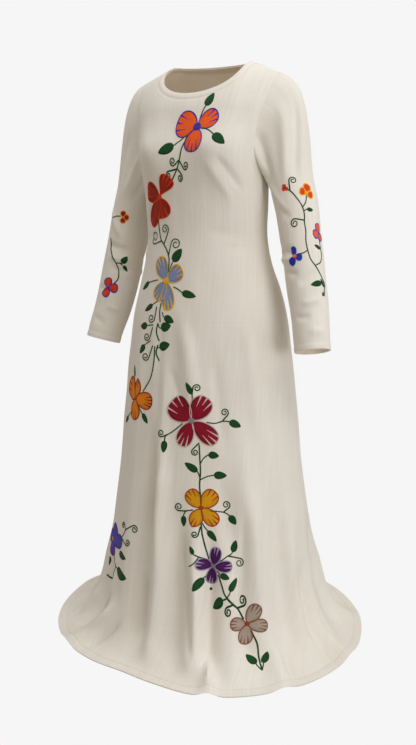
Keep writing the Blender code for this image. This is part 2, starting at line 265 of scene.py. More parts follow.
# The robe's cut in metres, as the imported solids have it, but a little fuller at the bust and in its folds
robe = {
    "shoulderToFloor": 1.380, "neckHalfWidth": 0.105, "frontNeckDrop": 0.050, "backNeckDrop": 0.012,
    "shoulderHalfWidth": 0.190, "shoulderDrop": 0.030, "underarmDrop": 0.250,
    "shoulderRound": 0.090, "neckTilt": 0.36, "shoulderLean": 0.045, "ridgeY": 0.006,
    "bustAcross": 0.096, "bustDrop": 0.200, "bustFullness": 0.026, "bustSpreadAcross": 0.058,
    "bustSpreadDown": 0.072, "spreadDrop": 1.215, "spreadFall": 0.095, "spreadReach": 0.075,
    "spreadRise": 0.004, "foldSwell": 0.5, "foldFade": 0.060, "foldGain": 1.25,
    "wall": 0.0015, "hemWall": 0.0026, "hemWidth": 0.018, "hemStretch": 1.15, "hemRadius": 0.39,
    "neckShare": 0.5}
floorLevel = -robe["shoulderToFloor"]
tiny = 0.000001

# The body level by level: half its width, how far it reaches to the front and the back, and its centre
bodySections = table(
    "down halfWidth frontDepth backDepth centreY",
    (0.000, 0.216, 0.098, 0.098, 0.006),
    (0.050, 0.213, 0.103, 0.102, 0.004),
    (0.100, 0.204, 0.110, 0.104, 0.000),
    (0.150, 0.192, 0.117, 0.106, -0.004),
    (0.200, 0.178, 0.124, 0.107, -0.009),
    (0.250, 0.167, 0.124, 0.105, -0.012),
    (0.320, 0.160, 0.118, 0.101, -0.011),
    (0.400, 0.156, 0.117, 0.102, -0.009),
    (0.460, 0.166, 0.128, 0.115, -0.005),
    (0.520, 0.184, 0.140, 0.136, -0.001),
    (0.580, 0.199, 0.152, 0.155, 0.001),
    (0.670, 0.210, 0.166, 0.172, 0.003),
    (0.795, 0.219, 0.183, 0.191, 0.004),
    (0.920, 0.231, 0.202, 0.211, 0.006),
    (1.045, 0.247, 0.224, 0.233, 0.008),
    (1.175, 0.267, 0.249, 0.261, 0.010),
    (1.300, 0.290, 0.276, 0.290, 0.012))

# How far the armhole's edge is from the middle on the front and the back, at a level
armholeEdge = table(
    "down front back",
    (0.030, 0.190, 0.190),
    (0.085, 0.180, 0.180),
    (0.130, 0.170, 0.171),
    (0.180, 0.163, 0.165),
    (0.220, 0.161, 0.162),
    (0.250, 0.167, 0.167))

# The hem on the floor: degrees round from the centre front, and how far out it lies
hemOutline = table(
    "angle radius",
    (-180, 0.410), (-140, 0.408), (-98, 0.414), (-70, 0.400), (-42, 0.384),
    (-19, 0.362), (-5, 0.350), (10, 0.362), (28, 0.392), (52, 0.403),
    (84, 0.400), (118, 0.394), (150, 0.400), (180, 0.410))

# Large folds of the skirt: metres down and degrees round from the centre front at the top and the foot, half
# the width in degrees and the height in metres, minus for a trough
skirtFolds = table(
    "top topAngle foot footAngle width height",
    (0.54, 2, 0.80, 15, 5.0, 0.006),
    (0.62, -10, 0.99, -2, 4.5, 0.006),
    (0.84, -27, 1.31, -22, 5.0, 0.004),
    (0.84, -13, 1.31, -7.5, 5.6, -0.013),
    (0.82, -4, 1.33, 1, 4.6, 0.012),
    (0.98, 9, 1.32, 13, 5.0, -0.011),
    (1.00, 18, 1.335, 22, 4.4, 0.014),
    (1.04, 27, 1.33, 28.5, 3.3, -0.010),
    (0.98, 35, 1.35, 38, 5.0, 0.011),
    (1.29, 28, 1.38, 29.5, 3.0, 0.011),
    (0.88, 32, 1.30, 42, 5.0, -0.008),
    (0.80, 46, 1.31, 52, 6.5, 0.012),
    (1.27, 57, 1.38, 54, 3.6, 0.009),
    (0.90, 70, 1.31, 66, 6.5, -0.011),
    (0.98, 78, 1.34, 73, 5.5, 0.008),
    (1.14, 85, 1.35, 80, 4.2, -0.008),
    (1.18, 92, 1.38, 87, 4.5, 0.007),
    (1.05, 106, 1.33, 103, 6.0, -0.009),
    (1.12, 120, 1.38, 116, 6.5, 0.008),
    (0.95, 134, 1.34, 130, 6.0, -0.011),
    (0.78, 148, 1.35, 145, 7.0, 0.014),
    (0.86, 162, 1.33, 160, 6.5, -0.012),
    (0.74, 176, 1.38, 174, 7.5, 0.016),
    (0.84, -168, 1.33, -171, 6.0, -0.012),
    (0.92, -155, 1.36, -156, 6.5, 0.012),
    (0.98, -141, 1.33, -140, 6.0, -0.010),
    (0.80, -128, 1.38, -124, 7.0, 0.014),
    (1.02, -110, 1.34, -108, 6.0, -0.009),
    (1.14, -96, 1.38, -92, 6.0, 0.005),
    (1.12, -74, 1.34, -72, 5.5, -0.007),
    (1.12, -58, 1.33, -60, 6.0, 0.005),
    (1.16, -40, 1.32, -44, 5.0, -0.012),
    (1.24, -25, 1.38, -38, 4.5, 0.009))

# Finer creases: a bent line from its start to its end, its half width and height in millimetres, minus for
# a trough. Places on the body are degrees round and metres down.
creaseColumns = "startAt startDown midAt midDown endAt endDown width height"
bodyCreases = table(
    creaseColumns,
    # from the bust to the waist, and under the arms
    (22, 0.225, 34, 0.270, 48, 0.330, 9, 1.6),
    (30, 0.215, 44, 0.262, 60, 0.305, 8, -1.8),
    (66, 0.215, 72, 0.262, 74, 0.330, 9, -1.2),
    (78, 0.235, 84, 0.280, 82, 0.340, 8, 1.4),
    (-30, 0.265, -42, 0.320, -56, 0.380, 9, 1.6),
    (-52, 0.225, -60, 0.290, -68, 0.360, 9, -2.2),
    # across the waist
    (20, 0.385, 42, 0.400, 66, 0.395, 8, -1.3),
    (36, 0.425, 54, 0.432, 76, 0.420, 7, -1.2),
    (-24, 0.392, -44, 0.405, -66, 0.396, 8, -1.4),
    (-40, 0.432, -56, 0.440, -74, 0.432, 7, 1.2),
    # down from the hips
    (-14, 0.560, -11, 0.700, -6, 0.880, 12, -2.6),
    (8, 0.600, 14, 0.680, 18, 0.800, 13, 2.0),
    (-2, 0.700, 2, 0.740, 6, 0.780, 9, -1.8),
    (26, 0.640, 31, 0.780, 36, 0.920, 14, -2.0),
    (48, 0.560, 54, 0.720, 58, 0.900, 15, 2.2),
    (64, 0.620, 68, 0.760, 70, 0.940, 14, -2.0),
    (-30, 0.580, -28, 0.760, -30, 0.960, 15, 2.2),
    (-44, 0.640, -44, 0.820, -48, 1.000, 14, -2.2),
    (-62, 0.600, -64, 0.800, -66, 1.020, 15, 2.0),
    # by the hem
    (19, 1.110, 21.5, 1.240, 23.5, 1.330, 11, 3.6),
    (12.5, 1.060, 15, 1.240, 24, 1.338, 9, -5.2),
    (28, 1.295, 29, 1.335, 29.5, 1.375, 7, 4.4),
    (-10, 1.180, -8, 1.250, -4, 1.310, 9, -4.6),
    (-12, 0.800, -11, 1.000, -7.5, 1.180, 15, -4.4),
    (-5, 0.930, -3, 1.050, -1, 1.170, 11, 2.4),
    (88, 1.260, 90, 1.300, 92, 1.340, 7, -3.4),
    (-24, 1.240, -32, 1.310, -41, 1.372, 9, 6.4),
    (-31, 1.240, -39, 1.300, -48, 1.352, 9, -6.2),
    (-17, 1.270, -24, 1.328, -30, 1.368, 8, -5.4),
    (-52, 1.255, -50, 1.290, -54, 1.340, 8, 5.4),
    (-60, 1.220, -62, 1.290, -70, 1.348, 9, -5.2),
    (-70, 1.240, -74, 1.290, -82, 1.345, 9, 4.6),
    (59, 1.300, 60, 1.335, 59, 1.368, 7, -3.2),
    (38, 1.130, 39, 1.230, 39, 1.330, 9, 3.0),
    (53, 0.960, 52, 1.120, 51, 1.290, 13, 2.8),
    (46, 1.000, 45, 1.120, 44, 1.230, 10, -3.0),
    (84, 1.180, 82, 1.260, 79, 1.330, 8, -3.0),
    # round the back
    (112, 0.240, 124, 0.300, 136, 0.370, 10, -1.8),
    (-112, 0.250, -126, 0.310, -140, 0.380, 10, 1.7),
    (170, 0.090, 176, 0.200, 172, 0.330, 14, -1.5),
    (-150, 0.130, -156, 0.230, -152, 0.330, 12, 1.4),
    (124, 0.400, 150, 0.410, 176, 0.404, 9, -1.6),
    (-120, 0.412, -148, 0.420, -176, 0.410, 9, 1.5),
    (140, 0.560, 146, 0.700, 150, 0.860, 15, 2.4),
    (166, 0.580, 164, 0.720, 160, 0.880, 14, -2.4),
    (-166, 0.540, -164, 0.700, -160, 0.860, 15, 2.4),
    (-138, 0.600, -134, 0.760, -130, 0.920, 15, -2.2),
    (116, 0.640, 112, 0.800, 108, 0.980, 14, 2.0),
    (-106, 0.640, -102, 0.800, -100, 1.000, 14, -2.0))

# Places on a sleeve are degrees round from its outer side by the front, and metres down from the underarm's
# level, so its head has minus values
leftCreases = table(
    creaseColumns,
    (20, -0.200, 40, -0.090, 56, 0.020, 9, -3.3),
    (48, -0.210, 66, -0.100, 84, 0.010, 8, 3.0),
    (96, -0.150, 108, -0.080, 122, -0.010, 8, -3.6),
    (150, -0.040, 120, 0.010, 90, 0.090, 9, 2.7),
    (140, 0.000, 110, 0.060, 84, 0.080, 8, -3.0),
    (160, 0.120, 120, 0.145, 86, 0.152, 8, -3.6),
    (165, 0.152, 128, 0.170, 70, 0.162, 8, 3.0),
    (150, 0.185, 112, 0.192, 80, 0.206, 7, -2.7),
    (30, 0.190, 62, 0.220, 92, 0.224, 8, -2.0),
    (20, 0.260, 58, 0.272, 96, 0.266, 8, 1.8),
    (60, 0.300, 90, 0.308, 120, 0.294, 7, -1.8),
    (10, 0.330, 50, 0.338, 80, 0.330, 8, 1.5),
    (200, 0.130, 240, 0.152, 275, 0.140, 9, -3.3),
    (205, 0.175, 240, 0.182, 280, 0.200, 8, 2.7),
    (250, -0.120, 270, -0.040, 285, 0.060, 9, -3.0),
    (300, 0.270, 320, 0.290, 350, 0.282, 8, -1.8))
rightCreases = table(
    creaseColumns,
    (150, -0.060, 132, -0.020, 110, 0.030, 9, -3.0),
    (120, -0.110, 104, -0.050, 86, 0.020, 8, 2.7),
    (70, -0.170, 60, -0.080, 52, 0.050, 9, -2.7),
    (40, 0.030, 80, 0.090, 120, 0.116, 9, 2.4),
    (60, 0.125, 100, 0.142, 150, 0.132, 8, -3.3),
    (70, 0.158, 112, 0.166, 160, 0.160, 8, 2.7),
    (90, 0.186, 126, 0.194, 165, 0.180, 7, -2.4),
    (50, 0.240, 90, 0.252, 130, 0.242, 8, -1.8),
    (100, 0.282, 130, 0.290, 160, 0.286, 8, 1.7),
    (60, 0.320, 96, 0.326, 130, 0.334, 7, -1.5),
    (200, 0.140, 235, 0.152, 270, 0.142, 9, -3.0),
    (210, 0.180, 244, 0.190, 285, 0.186, 8, 2.5),
    (255, -0.100, 272, -0.040, 282, 0.070, 9, 2.7),
    (310, 0.250, 335, 0.262, 360, 0.256, 8, -1.7))

# The sleeve: how steeply it leaves the armhole at the shoulder and the underarm, how far its head reaches,
# how much slimmer the left arm is and how far in the right one leans, and the rings below the head, centred
# on the arm's line
sleeve = {
    "topAngle": 14, "underAngle": 86, "pull": 0.95, "follow": 0.6, "besideTurn": 0.03,
    "leftSlim": 0.09, "slimOver": 0.13, "rightLean": 0.0045, "leanTo": 0.24, "leanFade": 0.12,
    "headOuter": 0.272, "headUnder": 0.045, "armTop": 0.290, "cuffDown": 0.660, "cuffHem": 0.015,
    "radius": 0.05, "turnStep": 0.02, "lineStep": 0.012, "calmOver": 0.05}
sleeveRings = table(
    "down out forward across through",
    (0.290, 0.2235, -0.006, 0.0505, 0.0560),
    (0.340, 0.2335, -0.003, 0.0510, 0.0545),
    (0.400, 0.2455, 0.003, 0.0508, 0.0530),
    (0.460, 0.2580, 0.009, 0.0500, 0.0520),
    (0.520, 0.2690, 0.016, 0.0490, 0.0505),
    (0.580, 0.2820, 0.025, 0.0470, 0.0480),
    (0.625, 0.2910, 0.036, 0.0450, 0.0460),
    (0.660, 0.2975, 0.043, 0.0440, 0.0450))

# Where the cloth is turned, sewn or joined: how deep a sewn line sinks and how wide, and how far a turned
# edge stands proud
sewing = {
    "seamDepth": 0.0004, "seamWidth": 0.0035, "seamFade": 0.02, "lineDepth": 0.0007, "lineWidth": 0.0022,
    "edgeRise": 0.0007, "neckBand": 0.0135, "neckReach": 0.12, "neckSearch": 0.30, "halvings": 18}

# How the creases are laid, the cloth's slight unevenness, how the shoulders settle, and how far from a place
# its neighbours are taken, to find the way that the cloth faces there
creasing = {"gain": 1.9, "steps": 12, "reach": 3, "ends": 0.35, "leastRadius": 0.03}
uneven = {
    "waves": 8, "shortest": 0.030, "longer": 0.017, "slant": 0.35, "bend": 1.3, "bendLength": 0.21,
    "bendLonger": 0.06, "height": 0.0022, "neckFade": 0.1, "footTop": 1.30, "footFade": 0.06}
settling = {
    "draw": 0.0065, "drawFrom": 0.11, "drawOver": 0.07, "drawFoot": 0.36, "drawFade": 0.12,
    "lift": 0.0085, "liftFoot": 0.28, "liftOver": 0.22}
probe = {"turn": 0.004, "down": 0.003}


def paired(first, second):
    # two numbers or grids, as grids of one shape
    return np.broadcast_arrays(np.asarray(first, float), np.asarray(second, float))


def curveBetween(t, start, end, startPull, endPull):
    # a smooth curve from start to end, which leaves and arrives as the pulls point
    left = 1 - t
    return start + (end - start) * t * t * (3 - 2 * t) + t * left * left * startPull - t * t * left * endPull


def read(rows, name, at):
    # a named column of a table, on a smooth curve through its rows
    places = np.array([row[0] for row in rows], float)
    values = np.array([getattr(row, name) for row in rows], float)
    slopes = np.gradient(values, places)
    at = np.clip(np.asarray(at, float), places[0], places[-1])
    row = np.clip(np.searchsorted(places, at, side="right") - 1, 0, len(places) - 2)
    step = places[row + 1] - places[row]
    share = (at - places[row]) / step
    return curveBetween(share, values[row], values[row + 1], step * slopes[row], step * slopes[row + 1])


def mix(first, second, share):
    return first + (second - first) * share


def smooth(share):
    share = np.clip(share, 0, 1)
    return share * share * (3 - 2 * share)


def unit(vectors):
    return vectors / np.maximum(np.linalg.norm(vectors, axis=-1, keepdims=True), tiny)


def shoulderLine(across):
    slope = robe["shoulderDrop"] / (robe["shoulderHalfWidth"] - robe["neckHalfWidth"])
    return slope * np.maximum(np.abs(across) - robe["neckHalfWidth"], 0)


def skirtPoint(angle, down):
    # the body above the floor spread, at an angle round from the centre front
    across = read(bodySections, "halfWidth", down) * np.sin(angle)
    front = np.cos(angle) > 0
    depth = np.where(front, read(bodySections, "frontDepth", down), read(bodySections, "backDepth", down))
    below = np.clip((down - shoulderLine(across)) / robe["shoulderRound"], 0, 1)
    roll = np.sqrt(1 - (1 - below) ** 2)
    bustAcross = (np.abs(across) - robe["bustAcross"]) / robe["bustSpreadAcross"]
    bustDown = (down - robe["bustDrop"]) / robe["bustSpreadDown"]
    bust = np.where(front, robe["bustFullness"] * np.exp(-bustAcross ** 2 - bustDown ** 2), 0)
    forward = depth * np.cos(angle) * roll + bust * np.sqrt(np.abs(np.cos(angle)))
    y = read(bodySections, "centreY", down) - forward
    tilt = robe["neckTilt"] * (y - robe["ridgeY"]) - robe["shoulderLean"] * across
    return np.stack([across, y, tilt * (1 - smooth(down / robe["underarmDrop"])) - down], axis=-1)


def basePoint(angle, down):
    # the smooth body, spread over the floor at its foot
    angle, down = paired(angle, down)
    level = np.full(down.shape, robe["spreadDrop"])
    upper = skirtPoint(angle, np.minimum(down, level))
    start = skirtPoint(angle, level)
    fall = (start - skirtPoint(angle, level - probe["down"])) / probe["down"]
    radius = read(hemOutline, "radius", (np.degrees(angle) + 180) % 360 - 180)
    height = floorLevel + robe["hemWall"] + 0 * angle
    hem = np.stack([radius * np.sin(angle), -radius * np.cos(angle), height], axis=-1)
    turn = upper + fall * robe["spreadFall"]
    reach = hem + unit((upper - hem) * (1, 1, 0)) * robe["spreadReach"] + np.array((0, 0, robe["spreadRise"]))
    t = np.clip((down - level) / (robe["shoulderToFloor"] - level), 0, 1)[..., None]
    spread = (1 - t) ** 3 * upper + 3 * t * (1 - t) ** 2 * turn + 3 * t * t * (1 - t) * reach + t ** 3 * hem
    return np.where((down > level)[..., None], spread, upper)


def foldHeight(angle, down):
    degrees = np.degrees(angle)
    total = 0 * degrees
    for fold in skirtFolds:
        along = (down - fold.top) / (fold.foot - fold.top)
        offset = (degrees - mix(fold.topAngle, fold.footAngle, along) + 180) % 360 - 180
        fade = smooth((down - fold.foot) / robe["foldFade"] + 1 / 2)
        swell = smooth(along / robe["foldSwell"]) * (1 - fade)
        total = total + robe["foldGain"] * fold.height * swell * np.exp(-(offset / fold.width) ** 2)
    return total


def bent(start, middle, end):
    # the places of a crease along its length
    t = np.linspace(0, 1, creasing["steps"] + 1)
    return (1 - t) ** 2 * start + 2 * t * (1 - t) * middle + t * t * end


def creaseHeight(creases, degrees, down, girth):
    # the sum of the creases, each a soft line that swells and dies away along its length
    total = np.zeros(down.shape)
    for crease in creases:
        lineAt = bent(crease.startAt, crease.midAt, crease.endAt)
        lineDown = bent(crease.startDown, crease.midDown, crease.endDown)
        wide = crease.width / 1000
        room = creasing["reach"] * wide
        middle = (crease.startAt + crease.endAt) / 2
        turned = (degrees - middle + 180) % 360 - 180
        span = np.ptp(lineAt) / 2 + np.abs(np.mean(lineAt) - middle)
        span += np.degrees(room / creasing["leastRadius"])
        near = (np.abs(turned) < span) & (down > lineDown.min() - room) & (down < lineDown.max() + room)
        if not near.any():
            continue
        across, along, around = turned[near], down[near], girth[near]
        best = np.full(across.shape, np.inf)
        share = np.zeros(across.shape)
        for step in range(creasing["steps"]):
            fromX = np.radians(across - (lineAt[step] - middle)) * around
            fromY = along - lineDown[step]
            goX = np.radians(lineAt[step + 1] - lineAt[step]) * around
            goY = lineDown[step + 1] - lineDown[step]
            s = np.clip((fromX * goX + fromY * goY) / (goX * goX + goY * goY + tiny), 0, 1)
            gap = np.hypot(fromX - s * goX, fromY - s * goY)
            share = np.where(gap < best, (step + s) / creasing["steps"], share)
            best = np.minimum(best, gap)
        swell = smooth(share / creasing["ends"]) * smooth((1 - share) / creasing["ends"])
        total[near] += creasing["gain"] * crease.height / 1000 * swell * np.exp(-(best / wide) ** 2)
    return total


def wander(x, y):
    # waves of unlike length and slant, in metres; the bare numbers only scatter them
    total = 0 * x
    for wave in range(1, uneven["waves"] + 1):
        length = uneven["shortest"] + uneven["longer"] * ((wave * 5) % uneven["waves"])
        slant = uneven["slant"] * math.sin(wave * 2.4)
        bend = uneven["bend"] * np.sin(2 * math.pi * y / (uneven["bendLength"] + uneven["bendLonger"] * wave))
        turn = 2 * math.pi / length * (x + slant * y) + wave * 1.9 + bend
        total = total + uneven["height"] * length * np.sin(turn)
    return total


def girthAt(down):
    # the mean radius of the body at a level, for lengths measured round it
    tall = (read(bodySections, "halfWidth", down) + read(bodySections, "frontDepth", down)) / 2
    spread = smooth((down - robe["spreadDrop"]) / (robe["shoulderToFloor"] - robe["spreadDrop"]))
    return mix(tall, robe["hemRadius"], spread)


def neckDrop(front):
    return np.where(front, robe["frontNeckDrop"], robe["backNeckDrop"])


def neckDistance(across, down, drop):
    # how far a place lies outside the neck's edge: each halving of the span brings it nearer
    low, high = np.zeros(np.shape(across)), np.full(np.shape(across), sewing["neckSearch"])
    level = np.maximum(down - shoulderLine(across), 0)
    for halving in range(sewing["halvings"]):
        width = (low + high) / 2
        outside = (across / (robe["neckHalfWidth"] + width)) ** 2 + (level / (drop + width)) ** 2 > 1
        low = np.where(outside, width, low)
        high = np.where(outside, high, width)
    return low


def sewnHeight(distance, band):
    # a turned edge that stands a little proud, and the sewn line that holds it down
    rise = sewing["edgeRise"] * np.sin(np.pi * np.clip(distance / band, 0, 1))
    line = sewing["lineDepth"] * np.exp(-((distance - band) / sewing["lineWidth"]) ** 2)
    return rise - line


def seamHeight(distance):
    return -sewing["seamDepth"] * np.exp(-(distance / sewing["seamWidth"]) ** 2)


def angleAt(across, down):
    return np.arcsin(np.clip(across / read(bodySections, "halfWidth", down), 0, 1))


def armholeAngle(side, down):
    # the angle of the armhole's edge at a level, for levels above the underarm
    level = np.clip(down, robe["shoulderDrop"], robe["underarmDrop"])
    return angleAt(read(armholeEdge, side, level), level)


def bodyHeight(angle, down):
    # all that raises or sinks the body's cloth
    girth = girthAt(down)
    degrees = np.degrees(angle)
    total = foldHeight(angle, down) + creaseHeight(bodyCreases, degrees, down, girth)
    front = np.cos(angle) > 0
    fromFront = np.abs((degrees + 180) % 360 - 180)
    below = smooth((down - robe["underarmDrop"]) / sewing["seamFade"] + 1)
    total += below * seamHeight(np.radians(fromFront - 90) * girth)
    edge = np.where(front, armholeAngle("front", down), np.pi - armholeAngle("back", down))
    above = 1 - smooth((down - robe["underarmDrop"]) / sewing["seamFade"])
    total += above * seamHeight((np.radians(fromFront) - edge) * girth)
    across = read(bodySections, "halfWidth", down) * np.sin(angle)
    near = down < sewing["neckReach"]
    if near.any():
        outside = neckDistance(across[near], down[near], neckDrop(front)[near])
        total[near] += sewnHeight(outside, sewing["neckBand"])
    total += sewnHeight((robe["shoulderToFloor"] - down) * robe["hemStretch"], robe["hemWidth"])
    calm = smooth(down / uneven["neckFade"]) * (1 - smooth((down - uneven["footTop"]) / uneven["footFade"]))
    return total + wander(angle * girth, down) * calm


def outward(pointAt, first, second, turn=probe["turn"]):
    # the way that a surface faces
    around = pointAt(first + turn, second) - pointAt(first - turn, second)
    along = pointAt(first, second + probe["down"]) - pointAt(first, second - probe["down"])
    return unit(np.cross(along, around))


def settled(points):
    # the shoulders sit a little higher and closer in than the plain cut
    x, z = points[..., 0], points[..., 2]
    points = points.copy()
    outer = smooth((np.abs(x) - settling["drawFrom"]) / settling["drawOver"])
    upper = smooth((z + settling["drawFoot"]) / settling["drawFade"])
    points[..., 0] = x - np.sign(x) * settling["draw"] * outer * upper
    points[..., 2] = z + settling["lift"] * smooth((z + settling["liftFoot"]) / settling["liftOver"])
    return points


def bodyPoint(angle, down):
    # the outer face of the body's cloth, never below the floor
    angle, down = paired(angle, down)
    points = basePoint(angle, down) + outward(basePoint, angle, down) * bodyHeight(angle, down)[..., None]
    points[..., 2] = np.maximum(points[..., 2], floorLevel + robe["hemWall"])
    return points


def robePoint(angle, down):
    return settled(bodyPoint(angle, down))


def yokePlace(side, share, t):
    # angle and down above the underarm: share runs from the centre to the armhole's edge, t from the top down
    drop = neckDrop(side == "front")
    rounded = (1 - np.cos(np.pi * t)) / 2
    edgeDown = mix(robe["shoulderDrop"], robe["underarmDrop"], rounded)
    edgeAngle = angleAt(read(armholeEdge, side, edgeDown), edgeDown)
    turn = np.pi / 2 * np.clip(share / robe["neckShare"], 0, 1)
    past = (share - robe["neckShare"]) / (1 - robe["neckShare"])
    seamAcross = mix(robe["neckHalfWidth"], robe["shoulderHalfWidth"], past)
    onNeck = share < robe["neckShare"]
    topAcross = np.where(onNeck, robe["neckHalfWidth"] * np.sin(turn), seamAcross)
    topDown = np.where(onNeck, drop * np.cos(turn), shoulderLine(topAcross))
    topShare = angleAt(topAcross, topDown) / angleAt(robe["shoulderHalfWidth"], robe["shoulderDrop"])
    angle = edgeAngle * mix(topShare, share, smooth(t))
    return angle, mix(topDown, robe["underarmDrop"], mix(t ** 2, rounded, share ** 4))


def armCentre(down):
    return np.stack([read(sleeveRings, "out", down), -read(sleeveRings, "forward", down), -down], axis=-1)


def armRing(turn, down):
    # a place on the sleeve below its head, as a left one, and the arm's direction there
    lower = np.minimum(down + sleeve["lineStep"], sleeve["cuffDown"])
    upper = np.maximum(down - sleeve["lineStep"], sleeve["armTop"])
    along = unit(armCentre(lower) - armCentre(upper))
    out = unit(np.array((1.0, 0, 0)) - along * along[..., :1])
    forward = np.cross(along, out)
    across = (read(sleeveRings, "across", down) * np.cos(turn))[..., None] * out
    through = (read(sleeveRings, "through", down) * np.sin(turn))[..., None] * forward
    return armCentre(down) + across + through, along


def headLength(turn):
    return mix(sleeve["headOuter"], sleeve["headUnder"], (1 - np.cos(turn)) / 2)


def sleeveBase(side, turn, along):
    # a place on the sleeve before its creases; side is 1 for the left and -1 for the right
    turn, along = paired(turn, along)
    under = (1 - np.cos(turn)) / 2
    edgeDown = mix(robe["shoulderDrop"], robe["underarmDrop"], under)
    onFront = np.sin(turn) >= 0
    edgeAngle = np.where(onFront, armholeAngle("front", edgeDown), np.pi - armholeAngle("back", edgeDown))
    loop = bodyPoint(side * edgeAngle, edgeDown) * (side, 1, 1)
    leaveAngle = np.radians(mix(sleeve["topAngle"], sleeve["underAngle"], under))[..., None]
    leave = np.cos(leaveAngle) * np.array((1, 0, 0)) + np.sin(leaveAngle) * np.array((0, 0, -1))
    besideAngle = edgeAngle - sleeve["besideTurn"] * np.where(onFront, 1, -1)
    beside = bodyPoint(side * besideAngle, edgeDown) * (side, 1, 1)
    aside = sleeve["follow"] * np.sin(turn)[..., None] ** 2
    leave = unit(leave + unit(loop - beside) * (0, 1, 0) * aside)
    top, direction = armRing(turn, np.full(turn.shape, sleeve["armTop"]))
    pull = np.linalg.norm(top - loop, axis=-1, keepdims=True) * sleeve["pull"]
    share = np.clip(1 + along / headLength(turn), 0, 1)[..., None]
    head = curveBetween(share, loop, top, pull * leave, pull * direction)
    down = sleeve["armTop"] + np.maximum(along, 0)
    arm = armRing(turn, down)[0]
    middle = read(sleeveRings, "out", down)
    lower = smooth(along / sleeve["slimOver"])
    if side > 0:
        arm[..., 0] = middle + (arm[..., 0] - middle) * (1 - sleeve["leftSlim"] * lower)
    else:
        upper = 1 - smooth((along - sleeve["leanTo"]) / sleeve["leanFade"])
        arm[..., 0] -= sleeve["rightLean"] * lower * upper
    return np.where((along < 0)[..., None], head, arm) * (side, 1, 1)


def sleevePoint(side, turn, along):
    # the outer face of a sleeve, creases and seams included
    turn, along = paired(turn, along)
    girth = np.full(along.shape, sleeve["radius"])
    degrees = np.degrees(turn)
    height = creaseHeight(leftCreases if side > 0 else rightCreases, degrees, along, girth)
    fromArmhole = along + headLength(turn)
    height += wander(np.sin(turn) * sleeve["radius"] + side, along) * smooth(fromArmhole / sleeve["calmOver"])
    height += seamHeight(fromArmhole)
    height += sewnHeight(sleeve["cuffDown"] - sleeve["armTop"] - along, sleeve["cuffHem"])
    fromSeam = (np.remainder(turn, 2 * np.pi) - np.pi) * girth
    height += seamHeight(fromSeam) * smooth(fromArmhole / sewing["seamFade"])
    facing = outward(lambda a, b: sleeveBase(side, a, b), turn, along, sleeve["turnStep"]) * -side
    return settled(sleeveBase(side, turn, along) + facing * height[..., None])


def sleeveAt(side):
    # the outer face of one sleeve, from its turn and how far along it a place is
    return lambda turn, along: sleevePoint(side, turn, along)


# Shells of cloth. Each is a grid over a piece's outer face, and the same grid moved in by the cloth. The
# weave measures a sleeve and the facing round at their flat radius. A hem's extra thickness comes in over
# a short step, some way above the hem's own width.
panels = {
    "front": {"columns": 200, "yokeRows": 58, "skirtRows": 102, "spreadRows": 32, "hemRows": 14},
    "back": {"columns": 164, "yokeRows": 52, "skirtRows": 92, "spreadRows": 30, "hemRows": 12}}
sleeveGrid = {"columns": 112, "headRows": 46, "armRows": 92, "flatRadius": 0.052}
facingGrid = {"columns": 168, "rows": 8, "width": 0.014, "gap": 0.0013, "flatRadius": 0.1, "seamTurn": 0.02}
hemStep = {"start": 1.3, "foot": 0.006, "cuff": 0.005}
sharpAngle = {"cloth": 60, "thread": 70}


def startWalls(uvName):
    mesh = bmesh.new()
    for name in ("inward", "place"):
        mesh.verts.layers.float_vector.new(name)
    mesh.loops.layers.uv.new(uvName)
    return mesh


def addWall(mesh, points, inward, places, outer, inner, joined=True):
    # a grid through the outer points, with its places on the UV map, and the same grid moved inwards
    rows, columns = points.shape[:2]
    made = bmesh.ops.create_grid(mesh, x_segments=columns - 1, y_segments=rows - 1, size=1)["verts"]
    way, spot = (mesh.verts.layers.float_vector[name] for name in ("inward", "place"))
    rim = mesh.verts.layers.float.get("rim")
    uv = mesh.loops.layers.uv.verify()
    for vertex, point, move, place in zip(made, *(each.reshape(-1, 3) for each in (points, inward, places))):
        vertex.co = point
        vertex[way] = move
        vertex[spot] = place
        # a thread's share of the rim, which sets its painted shade
        if rim:
            vertex[rim] = place[2]
    faces = list(dict.fromkeys(face for vertex in made for face in vertex.link_faces))
    for face in faces:
        face.material_index = outer
        for loop in face.loops:
            loop[uv].uv = loop.vert[spot].xy
    if joined:
        bmesh.ops.remove_doubles(mesh, verts=made, dist=tiny)
    copied = bmesh.ops.extrude_face_region(mesh, geom=[face for face in faces if face.is_valid])
    for part in copied["geom"]:
        if isinstance(part, bmesh.types.BMVert):
            part.co += part[way]
        elif isinstance(part, bmesh.types.BMFace):
            part.material_index = inner


def finishWalls(name, mesh, materials, creaseAngle):
    bmesh.ops.recalc_face_normals(mesh, faces=mesh.faces)
    for layer in ("inward", "place"):
        mesh.verts.layers.float_vector.remove(mesh.verts.layers.float_vector[layer])
    return addPiece(name, mesh, materials, creaseAngle)


def clothShell(name, points, facing, thickness, flat, materials, joined):
    inner = points - facing * thickness[..., None]
    inner[..., 2] = np.maximum(inner[..., 2], floorLevel)
    mesh = startWalls("cloth")
    places = np.dstack([flat, 0 * flat[..., 0]])
    addWall(mesh, points, inner - points, places, 0, len(materials) - 1, joined)
    return finishWalls(name, mesh, materials, sharpAngle["cloth"])


def addPiece(name, mesh, materials, creaseAngle):
    data = bpy.data.meshes.new(name)
    mesh.to_mesh(data)
    mesh.free()
    data.shade_smooth()
    data.set_sharp_from_angle(angle=math.radians(creaseAngle))
    for material in materials:
        data.materials.append(material)
    piece = bpy.data.objects.new(name, data)
    scene.collection.objects.link(piece)
    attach(piece, "root")
    return piece


